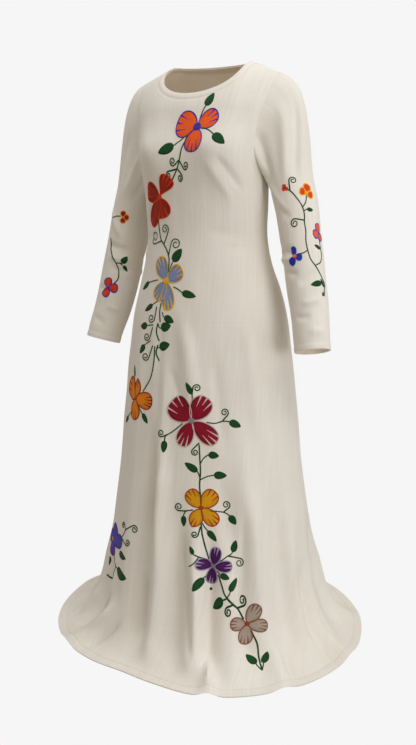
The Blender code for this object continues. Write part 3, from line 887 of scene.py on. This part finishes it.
def panelShell(side):
    grid = panels[side]
    shares = np.linspace(-1, 1, grid["columns"] + 1)
    yoke = [yokePlace(side, np.abs(shares), t) for t in np.linspace(0, 1, grid["yokeRows"] + 1)]
    angles = [np.sign(shares) * angle for angle, down in yoke]
    downs = [down for angle, down in yoke]
    hemTop = robe["shoulderToFloor"] - robe["hemWidth"] * hemStep["start"]
    levels = np.concatenate([
        np.linspace(robe["underarmDrop"], robe["spreadDrop"], grid["skirtRows"] + 1)[1:],
        np.linspace(robe["spreadDrop"], hemTop, grid["spreadRows"] + 1)[1:],
        np.linspace(hemTop, robe["shoulderToFloor"], grid["hemRows"] + 1)[1:]])
    for level in levels:
        angles.append(shares * np.pi / 2)
        downs.append(np.full(shares.shape, level))
    angles, downs = np.array(angles), np.array(downs)
    if side == "back":
        angles = np.pi - angles
    points = robePoint(angles, downs)
    facing = outward(robePoint, angles, downs)
    seam = np.abs(shares) >= robe["neckShare"]
    facing[0, seam, 1] = 0
    facing = unit(facing)
    thickness = mix(robe["wall"], robe["hemWall"], smooth((downs - hemTop) / hemStep["foot"]))
    flat = np.stack([angles * girthAt(downs), -downs], axis=-1)
    return clothShell(side + "_cloth", points, facing, thickness, flat, [outerLinen, innerLinenPaintedLight], False)


def sleeveShell(side):
    turns = np.linspace(0, 2 * np.pi, sleeveGrid["columns"] + 1)
    head = np.linspace(-1, 0, sleeveGrid["headRows"] + 1)[:, None] * headLength(turns)
    length = sleeve["cuffDown"] - sleeve["armTop"]
    arm = np.linspace(0, length, sleeveGrid["armRows"] + 1)[1:, None] + 0 * turns
    along = np.concatenate([head, arm])
    turn = turns + 0 * along
    points = sleevePoint(side, turn, along)
    around = np.roll(points[:, :-1], -1, axis=1) - np.roll(points[:, :-1], 1, axis=1)
    around = np.concatenate([around, around[:, :1]], axis=1)
    facing = unit(np.cross(around, np.gradient(points, axis=0))) * side
    points[:, -1] = points[:, 0]
    hemTop = length - sleeve["cuffHem"] * hemStep["start"]
    thickness = mix(robe["wall"], robe["hemWall"], smooth((along - hemTop) / hemStep["cuff"]))
    flat = np.stack([turn * sleeveGrid["flatRadius"], -along], axis=-1)
    name = "sleeve_left_cloth" if side > 0 else "sleeve_right_cloth"
    return clothShell(name, points, facing, thickness, flat, [outerLinen, innerLinenPaintedLight], True)


def facingShell():
    turns = np.linspace(-np.pi, np.pi, facingGrid["columns"] + 1)
    widths = np.linspace(0, facingGrid["width"], facingGrid["rows"] + 1)[:, None]
    front = np.cos(turns) > 0
    across = (robe["neckHalfWidth"] + widths) * np.abs(np.sin(turns))
    down = shoulderLine(across) + (neckDrop(front) + widths) * np.abs(np.cos(turns))
    angle = angleAt(across, down)
    angle = np.where(turns < 0, -1, 1) * np.where(front, angle, np.pi - angle)
    facing = outward(robePoint, angle, down)
    facing[:, np.abs(np.cos(turns)) < facingGrid["seamTurn"], 1] = 0
    facing = unit(facing)
    points = robePoint(angle, down) - facing * (robe["wall"] + facingGrid["gap"])
    points[:, -1] = points[:, 0]
    flat = np.stack([turns * facingGrid["flatRadius"] + 0 * down, -down], axis=-1)
    thickness = np.full(down.shape, robe["wall"])
    return clothShell("neck_facing_cloth", points, facing, thickness, flat, [facingLinenPaintedLight], True)


frontCloth = panelShell("front")
print("front draped")
backCloth = panelShell("back")
print("back draped")
leftSleeveCloth = sleeveShell(1)
rightSleeveCloth = sleeveShell(-1)
print("sleeves draped")
facingCloth = facingShell()
print("facing laid")


# Embroidery thread: fine stitches side by side, with painted shade that darkens each patch towards its rim
# and faintly between its stitches
def shade(red, green, blue):
    # a screen colour, 0 to 255, as the shader's light
    return tuple(((level / 255 + 0.055) / 1.055) ** 2.4 for level in (red, green, blue)) + (1,)


# How often the thread changes in a metre across and along its stitches, and its relief in metres
twist = {"strands": (1300, 110), "patches": (190, 70), "stitches": 7400, "relief": 0.00025}


def thread(name, pale, deep):
    made = Finish("thread_" + name, roughness=0.6, sheen=0.02, gloss=0.12)
    place = made.node("ShaderNodeUVMap", {"uv_map": "stitch"})
    rim = made.node("ShaderNodeAttribute", {"attribute_name": "rim"}, output=2)
    strands = made.noise(place, *twist["strands"])
    patches = made.noise(place, *twist["patches"])
    stitches = (made.axis(place, 0) * twist["stitches"]).wave()
    # painted shade: the rim share darkens the colour towards each patch's rim and the stitches' ripple
    # darkens it between stitches; the strands and patches are the thread's own uneven tone
    share = strands * 0.9 + patches * 0.8 + stitches * 0.10 + rim * rim * rim * 0.55 - 0.62
    made.feed("Base Color", made.mixed(share, shade(*pale), shade(*deep)))
    made.bump(stitches * 0.35 + strands, twist["relief"])
    return made.material


# The pale and the deep tone of each thread; the deep tone serves both its uneven dye and the painted shade at
# the rims
threads = {
    "orange": ((252, 104, 30), (222, 70, 14)), "violet": ((64, 54, 178), (36, 28, 112)),
    "royal": ((38, 62, 178), (22, 38, 126)), "brick": ((178, 50, 26), (84, 20, 12)),
    "scarlet": ((236, 70, 30), (190, 40, 16)),
    "slate": ((138, 154, 190), (106, 120, 154)), "gold": ((242, 188, 28), (216, 158, 14)),
    "amber": ((242, 142, 20), (206, 100, 8)), "maroon": ((158, 42, 22), (108, 22, 14)),
    "crimson": ((152, 18, 46), (102, 8, 26)), "chalk": ((214, 196, 190), (168, 146, 142)),
    "stone": ((150, 146, 148), (112, 106, 108)), "yellow": ((226, 164, 24), (186, 118, 12)),
    "rust": ((176, 70, 34), (126, 42, 22)), "plum": ((86, 34, 100), (50, 14, 62)),
    "lilac": ((176, 160, 188), (140, 120, 152)), "clay": ((182, 166, 152), (148, 130, 116)),
    "umber": ((146, 100, 78), (104, 66, 48)), "blue": ((74, 86, 196), (44, 52, 144)),
    "magenta": ((132, 44, 124), (92, 24, 84)), "green": ((26, 82, 38), (6, 38, 18))}
threadMaterials = {name: thread(name, *tones) for name, tones in threads.items()}
print("threads dyed")

# How the thread lies, in millimetres: what shows above the cloth, what is sunk in it, and the usual widths
needle = {
    "fill": 0.8, "cord": 1.15, "streakRise": 1.35, "heartRise": 1.35, "leafRise": 0.9, "sunk": 0.35,
    "root": 0.75, "outline": 3.0, "streak": 6.0, "streakTip": 1.1, "twig": 3.7, "twigTip": 2.4,
    "stemGain": 1.35, "leafGain": 1.22, "curlGain": 1.2, "step": 2.6, "shoulder": 0.72, "thinning": 2.4}

# The forms of petals, leaves and curls, mostly as shares of their length
petalForm = {
    "blunt": 0.42, "broadest": 0.62, "start": 0.05, "edgePoints": 53, "edgeReach": 0.95, "edgeInset": 0.96,
    "streakSpread": 1.15, "streakReach": 0.44, "uneven": 0.10, "gather": 0.8, "streakPoints": 9,
    "finePoints": 200}
leafForm = {"broadest": 0.38, "blunt": 0.76, "rib": 0.3, "ribWidth": 0.2}
curlForm = {"points": 26, "turns": 1.3, "tightening": 0.70, "bud": 1.9, "budRise": 1.2}

# Where a motif lies: its panel, the middle of it, and the metres to a radian round and to a metre along there
Ground = namedtuple("Ground", "panel degrees reach perTurn perReach")
panelSide = {"front": 0, "left": 1, "right": -1}


def onCloth(ground, flat):
    # millimetres across and up from the motif's middle, as points on the cloth and the way that they face
    first = math.radians(ground.degrees) + flat[..., 0] / 1000 / ground.perTurn
    second = ground.reach - flat[..., 1] / 1000 / ground.perReach
    side = panelSide[ground.panel]
    if side == 0:
        return robePoint(first, second), outward(robePoint, first, second)
    return sleevePoint(side, first, second), outward(sleeveAt(side), first, second) * -side


# One patch of thread: flat places, how high each is, where it is along and across the stitches, how near the
# rim, which sets its painted shade, and its colour
Patch = namedtuple("Patch", "flat rise across along rim colour")


def patchOf(flat, rise, across, along, rim, colour):
    across, along, rim, rise = np.broadcast_arrays(across, along, rim, rise)
    return Patch(flat, rise, across, along, rim, colour)


def sewAll(ground, patches):
    # each patch is a grid laid on the cloth and raised from it, with its foot sunk in the cloth
    mesh = startWalls("stitch")
    mesh.verts.layers.float.new("rim")
    points, facing = onCloth(ground, np.concatenate([patch.flat.reshape(-1, 2) for patch in patches]))
    ends = np.cumsum([patch.rise.size for patch in patches])[:-1]
    for patch, foot, out in zip(patches, np.split(points, ends), np.split(facing, ends)):
        out = out.reshape(*patch.rise.shape, 3)
        rise = patch.rise[..., None] / 1000
        places = np.dstack([patch.across / 1000, patch.along / 1000, patch.rim])
        inward = -out * (rise + needle["root"] / 1000)
        addWall(mesh, foot.reshape(out.shape) + out * rise, inward, places, patch.colour, patch.colour)
    return mesh


def girthOfPetal(share, broadest, blunt):
    # half the width, 1 where the petal is broadest
    lead = blunt * broadest / (1 - broadest)
    return (share / broadest) ** lead * ((1 - share) / (1 - broadest)) ** blunt


def turned(base, tip, along, across):
    # places along a line from base to tip, and across it to the left
    base, tip = np.array(base, float), np.array(tip, float)
    way = (tip - base) / np.hypot(*(tip - base))
    aside = np.array([-way[1], way[0]])
    along, across = np.broadcast_arrays(along, across)
    return base + along[..., None] * way + across[..., None] * aside


def domedPatch(base, tip, width, rise, broadest, blunt, colour, rib=0.0, rows=16, columns=10):
    # a petal, leaf or heart, with its stitches running from its base to its tip
    length = math.dist(base, tip)
    share = ((1 - np.cos(np.pi * np.linspace(0, 1, rows + 1))) / 2)[:, None]
    aside = np.linspace(-1, 1, columns + 1)[None, :] + 0 * share
    half = width / 2 * girthOfPetal(share, broadest, blunt)
    dome = np.sqrt((1 - aside ** 4) * (1 - (2 * share - 1) ** 10))
    groove = rib * np.exp(-(aside / leafForm["ribWidth"]) ** 2)
    height = -needle["sunk"] + (rise + needle["sunk"] - groove) * dome
    flat = turned(base, tip, share * length, aside * half)
    return patchOf(flat, height, aside * half, share * length, np.maximum(np.abs(aside), 1 - dome), colour)


def roundPatch(middle, radius, rise, colour, rows=16, columns=10):
    x, y = middle
    return domedPatch((x - radius, y), (x + radius, y), radius * 2, rise, 0.5, 0.5, colour, 0, rows, columns)


def cordPatch(line, widths, colour, rise=needle["cord"]):
    # a couched cord along a line, half round, and lower where it is thinner than a millimetre
    way = unit(np.gradient(line, axis=0))
    aside = np.stack([-way[:, 1], way[:, 0]], axis=-1)
    offsets = np.array([-1, -needle["shoulder"], 0, needle["shoulder"], 1])[None, :]
    widths = np.broadcast_to(widths, len(line))[:, None]
    flat = line[:, None, :] + aside[:, None, :] * (offsets * widths / 2)[..., None]
    lift = np.sqrt(1 - offsets ** 2) * np.minimum(1, 1 - (1 - widths) / needle["thinning"])
    height = -needle["sunk"] + (rise + needle["sunk"]) * lift
    along = np.concatenate([[0], np.cumsum(np.linalg.norm(np.diff(line, axis=0), axis=1))])[:, None]
    return patchOf(flat, height, offsets * widths / 2, along, np.abs(offsets), colour)


def softLine(corners):
    # a smooth line through the corners
    corners = np.array(corners, float)
    lengths = np.concatenate([[0], np.cumsum(np.linalg.norm(np.diff(corners, axis=0), axis=1))])
    slopes = np.gradient(corners, lengths, axis=0)
    at = np.linspace(0, lengths[-1], max(3, int(lengths[-1] / needle["step"])) + 1)
    last = np.clip(np.searchsorted(lengths, at, side="right") - 1, 0, len(corners) - 2)
    span = (lengths[last + 1] - lengths[last])[:, None]
    share = (at - lengths[last])[:, None] / span
    return curveBetween(share, corners[last], corners[last + 1], slopes[last] * span, slopes[last + 1] * span)


def curlPatches(start, centre, radius, sense, colour):
    # a twig that runs on to a ring and winds inwards, to the left for a sense of 1
    start, centre = np.array(start, float), np.array(centre, float)
    radius = radius * needle["curlGain"]
    reach = math.dist(start, centre)
    x, y = start - centre
    first = math.atan2(y, x) + sense * math.acos(min(1, radius / reach))
    share = np.linspace(0, 1, curlForm["points"])
    turn = first + sense * share * math.tau * curlForm["turns"]
    ring = radius * (1 - curlForm["tightening"] * share)
    spiral = centre + np.stack([ring * np.cos(turn), ring * np.sin(turn)], axis=-1)
    lead = np.linspace(0, 1, max(3, int(reach / needle["step"])))[:-1, None]
    line = np.concatenate([start + (spiral[0] - start) * lead, spiral])
    widths = np.linspace(needle["twig"], needle["twigTip"], len(line))
    return [
        cordPatch(line, widths, colour),
        roundPatch(spiral[-1], curlForm["bud"], curlForm["budRise"], colour, 5, 5)]


def petalPatches(middle, petal, fill, edge):
    # the filled petal, the cord round it and the streaks that run in from its edge
    x, y, width, streaks, *form = petal
    blunt, broadest = form or (petalForm["blunt"], petalForm["broadest"])
    middle = np.array(middle, float)
    base, tip = middle + np.array((x, y)) * petalForm["start"], middle + np.array((x, y))
    length = math.hypot(x, y) * petalForm["edgeReach"]
    turn = np.linspace(0, 2 * np.pi, petalForm["edgePoints"])
    share = (1 - np.cos(turn)) / 2
    half = width / 2 * girthOfPetal(share, broadest, blunt) * np.where(turn < np.pi + tiny, 1, -1)
    made = [
        domedPatch(base, tip, width, needle["fill"], broadest, blunt, fill),
        cordPatch(turned(base, tip, share * length, half * petalForm["edgeInset"]), needle["outline"], edge)]
    outer = np.linspace(broadest, 1, petalForm["finePoints"])
    girths = girthOfPetal(outer, broadest, blunt)
    count = petalForm["streakPoints"]
    for each in range(streaks):
        aside = (each - (streaks - 1) / 2) / max(2, streaks - 1) * petalForm["streakSpread"]
        hit = outer[np.argmin(np.abs(girths - abs(aside)))]
        run = np.linspace(hit, hit - petalForm["streakReach"] + petalForm["uneven"] * (each % 2), count)
        line = turned(base, tip, run * length, aside * width / 2 * (run / hit) ** petalForm["gather"])
        widths = np.linspace(needle["streak"], needle["streakTip"], count)
        made.append(cordPatch(line, widths, edge, needle["streakRise"]))
    return made


def sewMotif(name, motif):
    patches = []
    colours = ["green"]

    def dyed(colour):
        if colour not in colours:
            colours.append(colour)
        return colours.index(colour)

    for width, *corners in motif.get("stems", ()):
        patches.append(cordPatch(softLine(np.reshape(corners, (-1, 2))), width * needle["stemGain"], 0))
    for startX, startY, tipX, tipY, width in motif.get("leaves", ()):
        patches.append(domedPatch(
            (startX, startY), (tipX, tipY), width * needle["leafGain"], needle["leafRise"],
            leafForm["broadest"], leafForm["blunt"], 0, leafForm["rib"]))
    for startX, startY, x, y, radius, sense in motif.get("curls", ()):
        patches += curlPatches((startX, startY), (x, y), radius, sense, 0)
    for x, y, radius, fill, edge, heart, *petals in motif.get("flowers", ()):
        for petal in petals:
            patches += petalPatches((x, y), petal, dyed(fill), dyed(edge))
        patches.append(roundPatch((x, y), radius, needle["heartRise"], dyed(heart)))
    mesh = sewAll(Ground(*motif["ground"]), patches)
    return finishWalls(name, mesh, [threadMaterials[colour] for colour in colours], sharpAngle["thread"])


# The motifs, in millimetres across and up from the middle of each. A stem is its width and its corners, a
# leaf its base, tip and width, a curl its start, middle, radius and sense, and a flower its middle, the
# heart's radius, the colours of its fill, edge and heart, and its petals: tip, width, streaks, and for some
# how blunt it is and where it is broadest.
motifs = {
    "neck_flower": {
        "ground": ("front", 11.6, 0.141, 0.192, 0.827),
        "flowers": [(
            0, 0, 11, "orange", "violet", "violet",
            (-54, 12, 64, 3, 0.4, 0.6), (44, 28, 46, 3), (-1, -57, 52, 3))],
        "stems": [
            (2.3, 2, 18, 5, 35, 10, 48), (2.3, 16, -3, 34, -9, 54, -21),
            (2.3, -22, -18, -40, -31, -57, -42),
            (2.8, -18, -18, -32, -48, -38, -74, -46, -90, -63, -109)],
        "leaves": [(10, 47, 20, 72, 17), (52, -20, 91, -44, 17), (-55, -41, -98, -55, 21)],
        "curls": [
            (-39, -72, -57, -74, 7.5, -1), (-37, -74, -18, -83, 7, 1), (-46, -89, -72, -99, 6, 1),
            (-44, -88, -36, -105, 6.5, -1)]},
    "chest_flower": {
        "ground": ("front", -22.9, 0.307, 0.154, 1.02),
        "flowers": [(
            0, 0, 7, "brick", "scarlet", "scarlet",
            (-46, 20, 50, 3), (35, 44, 40, 3, 0.4, 0.78), (6, -50, 58, 3), (-45, -66, 42, 2))],
        "stems": [
            (2.8, -14, -40, -11, -76, -2, -102, 8, -112, 26, -138, 31, -183),
            (2.2, 33, -178, 36, -164, 42, -152)],
        "leaves": [(41, -153, 62, -123, 21)],
        "curls": [(-2, -104, -31, -94, 14, -1), (8, -112, 11, -76, 10, 1), (26, -138, 45, -112, 11.5, -1)]},
    "waist_flower": {
        "ground": ("front", -12.4, 0.502, 0.177, 1.011),
        "flowers": [(
            0, 0, 9, "slate", "gold", "gold",
            (-36, 54, 42, 3), (44, 28, 43, 3), (-27, -44, 41, 3), (17, -68, 37, 3))],
        "stems": [
            (2.3, -28, 2, -50, -2, -66, -6), (2.3, 24, -14, 36, -19, 50, -28),
            (2.3, -14, -46, -25, -52, -36, -59)],
        "leaves": [(-64, -5, -94, -23, 14), (48, -27, 82, -36, 16), (-34, -58, -61, -74, 13)]},
    "waist_vine": {
        "ground": ("front", -12.4, 0.502, 0.177, 1.011),
        "stems": [
            (2.6, -6, -44, -8, -70, -4, -98), (2.6, -10, -101, -12, -120, -4, -143),
            (2.6, -6, -152, -8, -172, 1, -190),
            (2.6, -13, -156, -12, -186, -18, -231, -38, -268),
            (2.2, 0, -74, 3, -82, 9, -88), (2.2, -9, -103, -6, -110, 0, -113),
            (2.2, -23, -106, -34, -107, -45, -109), (2.2, -9, -160, -4, -159, 0, -158),
            (2.2, -27, -144, -38, -151, -46, -157)],
        "leaves": [
            (7, -85, 33, -97, 16), (-1, -112, 26, -104, 20), (-44, -109, -71, -112, 16),
            (-2, -158, 26, -148, 20), (-45, -156, -60, -178, 15)],
        "curls": [
            (-19, -62, -32, -90, 9.5, -1), (-24, -111, -40, -135, 8.5, -1),
            (-19, -155, -38, -183, 8.5, -1)]},
    "amber_flower": {
        "ground": ("front", -32.2, 0.787, 0.209, 1.007),
        "flowers": [(
            0, 0, 7, "amber", "maroon", "maroon",
            (-62, 34, 56, 3), (6, 48, 34, 2, 0.7, 0.5), (62, -2, 42, 4), (-8, -52, 56, 3))],
        "stems": [
            (2.3, -13, 16, -18, 34, -22, 52), (2.3, 16, -16, 24, -26, 33, -35),
            (2.3, -40, -40, -52, -48, -60, -57)],
        "leaves": [(-21, 50, -35, 78, 14), (32, -33, 53, -54, 13), (-58, -55, -75, -74, 11)]},
    "crimson_flower": {
        "ground": ("front", 14.6, 0.821, 0.219, 1.008),
        "flowers": [(
            0, 0, 8, "crimson", "chalk", "stone",
            (-54, 42, 64, 3, 0.4, 0.62), (36, 54, 52, 3, 0.4, 0.62), (-24, -60, 42, 3), (60, -48, 45, 3))],
        "stems": [
            (2.3, 2, 38, 2, 48, 1, 60), (2.3, 36, -2, 56, -4, 75, 1, 92, 0),
            (2.3, -22, -8, -46, -29, -62, -42, -63, -54),
            (2.8, 20, -54, 22, -80, 25, -125, 24, -142, 28, -181),
            (2.2, 24, -98, 32, -84, 45, -75), (2.2, 25, -140, 23, -126, 16, -112),
            (2.2, 26, -134, 42, -126, 56, -123)],
        "leaves": [
            (0, 62, -16, 88, 12), (90, 0, 118, -12, 16), (-63, -52, -62, -80, 12), (42, -76, 66, -79, 15),
            (18, -116, -12, -98, 15), (55, -123, 84, -124, 16)],
        "curls": [(1, 60, 11, 76, 7.5, -1), (72, 0, 78, 21, 8, 1), (-56, -36, -73, -35, 7.5, -1),
                  (20, -50, 11, -72, 7, 1)]},
    "yellow_flower": {
        "ground": ("front", 22.1, 1.018, 0.24, 1.013),
        "flowers": [(
            0, 0, 6.5, "yellow", "rust", "rust",
            (-32, 37, 37, 3), (33, 37, 41, 3), (-18, -43, 32, 2, 0.7, 0.55), (38, -36, 34, 3))],
        "stems": [
            (2.3, -18, -6, -28, -8, -37, -10), (2.3, -36, -10, -41, -20, -41, -30),
            (2.3, 22, -6, 42, -8, 56, -11, 69, -19),
            (2.8, 2, -36, 4, -54, 11, -85, 20, -118), (2.2, 3, -32, 10, -44, 19, -54)],
        "leaves": [(-41, -22, -40, -47, 13), (67, -18, 81, -38, 15), (17, -52, 37, -76, 13)],
        "curls": [(-34, -10, -54, -2, 8, -1), (52, -10, 59, 7, 8, 1), (1, -42, -11, -60, 6.5, -1)]},
    "purple_flower": {
        "ground": ("front", 29.3, 1.15, 0.259, 1.016),
        "flowers": [(
            0, 0, 6, "plum", "lilac", "stone",
            (8, 44, 28, 2), (-38, 9, 27, 2), (43, 2, 27, 2), (-6, -39, 27, 2))],
        "stems": [
            (2.3, -12, 14, -30, 22, -46, 30), (2.2, -33, 22, -42, 9, -54, 0),
            (2.3, 15, 13, 26, 20, 35, 26), (2.2, 34, 25, 42, 29, 48, 36),
            (2.2, -10, -18, -18, -23, -25, -28), (2.2, 9, -10, 18, -18),
            (2.8, 12, -17, 19, -41, 28, -66, 43, -77, 54, -84, 66, -99),
            (2.2, 30, -68, 35, -60, 39, -50), (2.2, 30, -68, 24, -70, 19, -71)],
        "leaves": [
            (-45, 29, -54, 46, 10), (46, 33, 54, 60, 14), (-22, -25, -42, -53, 16), (16, -17, 36, -26, 13),
            (36, -54, 54, -26, 14), (21, -70, 0, -83, 13), (-8, -50, -2, -54, 7)],
        "curls": [(34, 25, 61, 8, 8.5, -1), (43, -77, 32, -87, 6, 1), (54, -83, 65, -73, 6.5, 1)]},
    "grey_flower": {
        "ground": ("front", 45.2, 1.254, 0.284, 1.547),
        "flowers": [(
            0, 0, 6, "clay", "umber", "rust",
            (26, 39, 31, 3), (-39, 1, 30, 3), (43, -12, 31, 3), (-10, -45, 31, 3))],
        "stems": [(2.8, 7, -16, 16, -52, 16, -79, 19, -119), (2.2, 19, -119, 12, -106, 8, -96),
                  (2.2, 19, -119, 22, -108, 25, -98)],
        "leaves": [(9, -99, -8, -70, 15), (24, -101, 34, -74, 14)]},
    "blue_flower": {
        "ground": ("front", -44.8, 1.152, 0.254, 1.014),
        "flowers": [(
            0, 0, 7, "blue", "magenta", "yellow",
            (17, 38, 48, 2), (68, 12, 36, 2), (11, -40, 46, 2), (-38, 4, 34, 2))],
        "stems": [
            (2.6, 40, 12, 65, 28, 80, 47), (2.3, 4, -28, 26, -46, 52, -54),
            (2.3, 50, -54, 42, -70, 2, -86, -14, -86), (2.2, 52, -54, 57, -55, 64, -57)],
        "leaves": [(58, -16, 100, -19, 16), (60, -56, 110, -64, 19), (-8, -50, -12, -70, 11)],
        "curls": [(80, 47, 62, 54, 7, 1), (80, 47, 112, 57, 8, -1), (60, 22, 97, 21, 7, 1)]},
    "left_sleeve_sprig": {
        "ground": ("left", 52.0, 0.089, 0.053, 1.024),
        "flowers": [
            (31, 84, 3, "scarlet", "scarlet", "green", (1, 7, 8, 0), (-6, -5, 7, 0), (6, -4, 7, 0)),
            (-18, 66, 5, "scarlet", "gold", "gold", (-9, 20, 20, 0), (15, 7, 18, 0), (-18, -6, 18, 0)),
            (-42, -26, 5, "orange", "blue", "blue", (3, 22, 18, 0), (20, -5, 21, 0), (-8, -17, 18, 0)),
            (34, -74, 5, "royal", "blue", "orange", (3, 22, 15, 0), (-17, -6, 15, 0), (13, -18, 15, 0))],
        "stems": [
            (2.5, 26, 80, 19, 74, 9, 58, -1, 34, -3, 15, -1, 0, -2, -20, 1, -45, -1, -69,
             -6, -87, -16, -100, -33, -127, -44, -146, -39, -157),
            (2.2, -17, 60, -12, 46, -2, 34),
            (2.2, -42, -38, -41, -60, -42, -74, -34, -92, -18, -99),
            (2.2, 27, -70, 12, -70, 0, -65), (2.2, -3, 24, -8, 27, -13, 28)],
        "leaves": [
            (-12, 28, -29, 26, 9), (-40, -62, -20, -54, 8), (-30, -140, 2, -144, 13),
            (-40, -150, -28, -130, 8)],
        "curls": [(20, 76, 8, 98, 8, 1), (-1, 3, 23, -1, 8.5, -1), (-39, -156, -33, -166, 4, 1)]},
    "right_sleeve_sprig": {
        "ground": ("right", 106.0, 0.176, 0.05, 0.96),
        "flowers": [
            (-3, 113, 4, "maroon", "amber", "amber", (-3, 15, 14, 0), (14, 2, 13, 0), (1, -14, 14, 0)),
            (-8, -60, 6, "scarlet", "violet", "blue", (-8, 22, 24, 0), (25, 3, 22, 0), (-9, -23, 24, 0))],
        "stems": [
            (2.2, -11, 114, -25, 112, -34, 106),
            (2.5, -32, 58, -26, 35, -13, 18, 1, 1, 11, -17, 13, -35, 5, -48),
            (2.2, 0, 2, 8, 4, 16, 4), (2.2, 8, 4, 13, 3, 18, 0)],
        "leaves": [(15, 5, 25, 24, 13), (20, 0, 34, -13, 8)]}}
needlework = {name: sewMotif(name, motif) for name, motif in motifs.items()}
print("embroidery sewn")

# Top stitching: small stitches, in metres, along the sewn lines of the neck, the foot and the cuffs
topStitch = {
    "pitch": 0.0042, "halfLength": 0.0016, "halfWidth": 0.00045, "halfHeight": 0.0004, "lift": 0.0002,
    "sides": 6, "rings": 4, "panelPoints": 181, "cuffPoints": 121}


def stitchAlong(mesh, points, facing):
    # stitches evenly spaced along a line of places on the cloth
    lengths = np.concatenate([[0], np.cumsum(np.linalg.norm(np.diff(points, axis=0), axis=1))])
    ways = unit(np.gradient(points, axis=0))
    count = int(lengths[-1] / topStitch["pitch"])
    at = (np.arange(count) + 0.5) / count * lengths[-1]
    rows = [np.stack([np.interp(at, lengths, each[:, axis]) for axis in range(3)], axis=-1)
            for each in (points, ways, facing)]
    for spot, way, out in zip(rows[0], unit(rows[1]), unit(rows[2])):
        place = Matrix.Identity(4)
        sides = (way * topStitch["halfLength"], np.cross(out, way) * topStitch["halfWidth"],
                 out * topStitch["halfHeight"], spot + out * topStitch["lift"])
        for column, side in enumerate(sides):
            place.col[column][:3] = side
        bmesh.ops.create_uvsphere(
            mesh, u_segments=topStitch["sides"], v_segments=topStitch["rings"], radius=1, matrix=place)


def panelStitches(side):
    # round the neck and the foot of the front or the back
    mesh = bmesh.new()
    turns = np.linspace(-np.pi / 2, np.pi / 2, topStitch["panelPoints"])
    across = (robe["neckHalfWidth"] + sewing["neckBand"]) * np.abs(np.sin(turns))
    down = shoulderLine(across) + (neckDrop(side == "front") + sewing["neckBand"]) * np.cos(turns)
    hemDown = np.full(turns.shape, robe["shoulderToFloor"] - robe["hemWidth"] / robe["hemStretch"])
    for angle, level in ((np.sign(turns) * angleAt(across, down), down), (turns, hemDown)):
        if side == "back":
            angle = np.pi - angle
        stitchAlong(mesh, robePoint(angle, level), outward(robePoint, angle, level))
    return addPiece(side + "_stitches", mesh, [stitchThread], sharpAngle["cloth"])


def cuffStitches(side, name):
    mesh = bmesh.new()
    turns = np.linspace(0, 2 * np.pi, topStitch["cuffPoints"])
    along = np.full(turns.shape, sleeve["cuffDown"] - sleeve["armTop"] - sleeve["cuffHem"])
    facing = outward(sleeveAt(side), turns, along, sleeve["turnStep"]) * -side
    stitchAlong(mesh, sleevePoint(side, turns, along), facing)
    return addPiece(name, mesh, [stitchThread], sharpAngle["cloth"])


plainThread = Finish("stitch_thread", roughness=0.7, sheen=0.02, gloss=0.1)
plainThread.shader.inputs["Base Color"].default_value = shade(206, 196, 178)
stitchThread = plainThread.material
stitching = {"front": panelStitches("front"), "back": panelStitches("back"),
             "left": cuffStitches(1, "left_cuff_stitches"), "right": cuffStitches(-1, "right_cuff_stitches")}
print("edges stitched")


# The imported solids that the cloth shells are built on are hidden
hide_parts("front")
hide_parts("back")
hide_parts("sleeve_left")
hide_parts("sleeve_right")
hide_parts("neck_facing")

# The embroidery and the stitches that lie on the front
onFront = [piece for name, piece in needlework.items() if "sleeve" not in name] + [stitching["front"]]
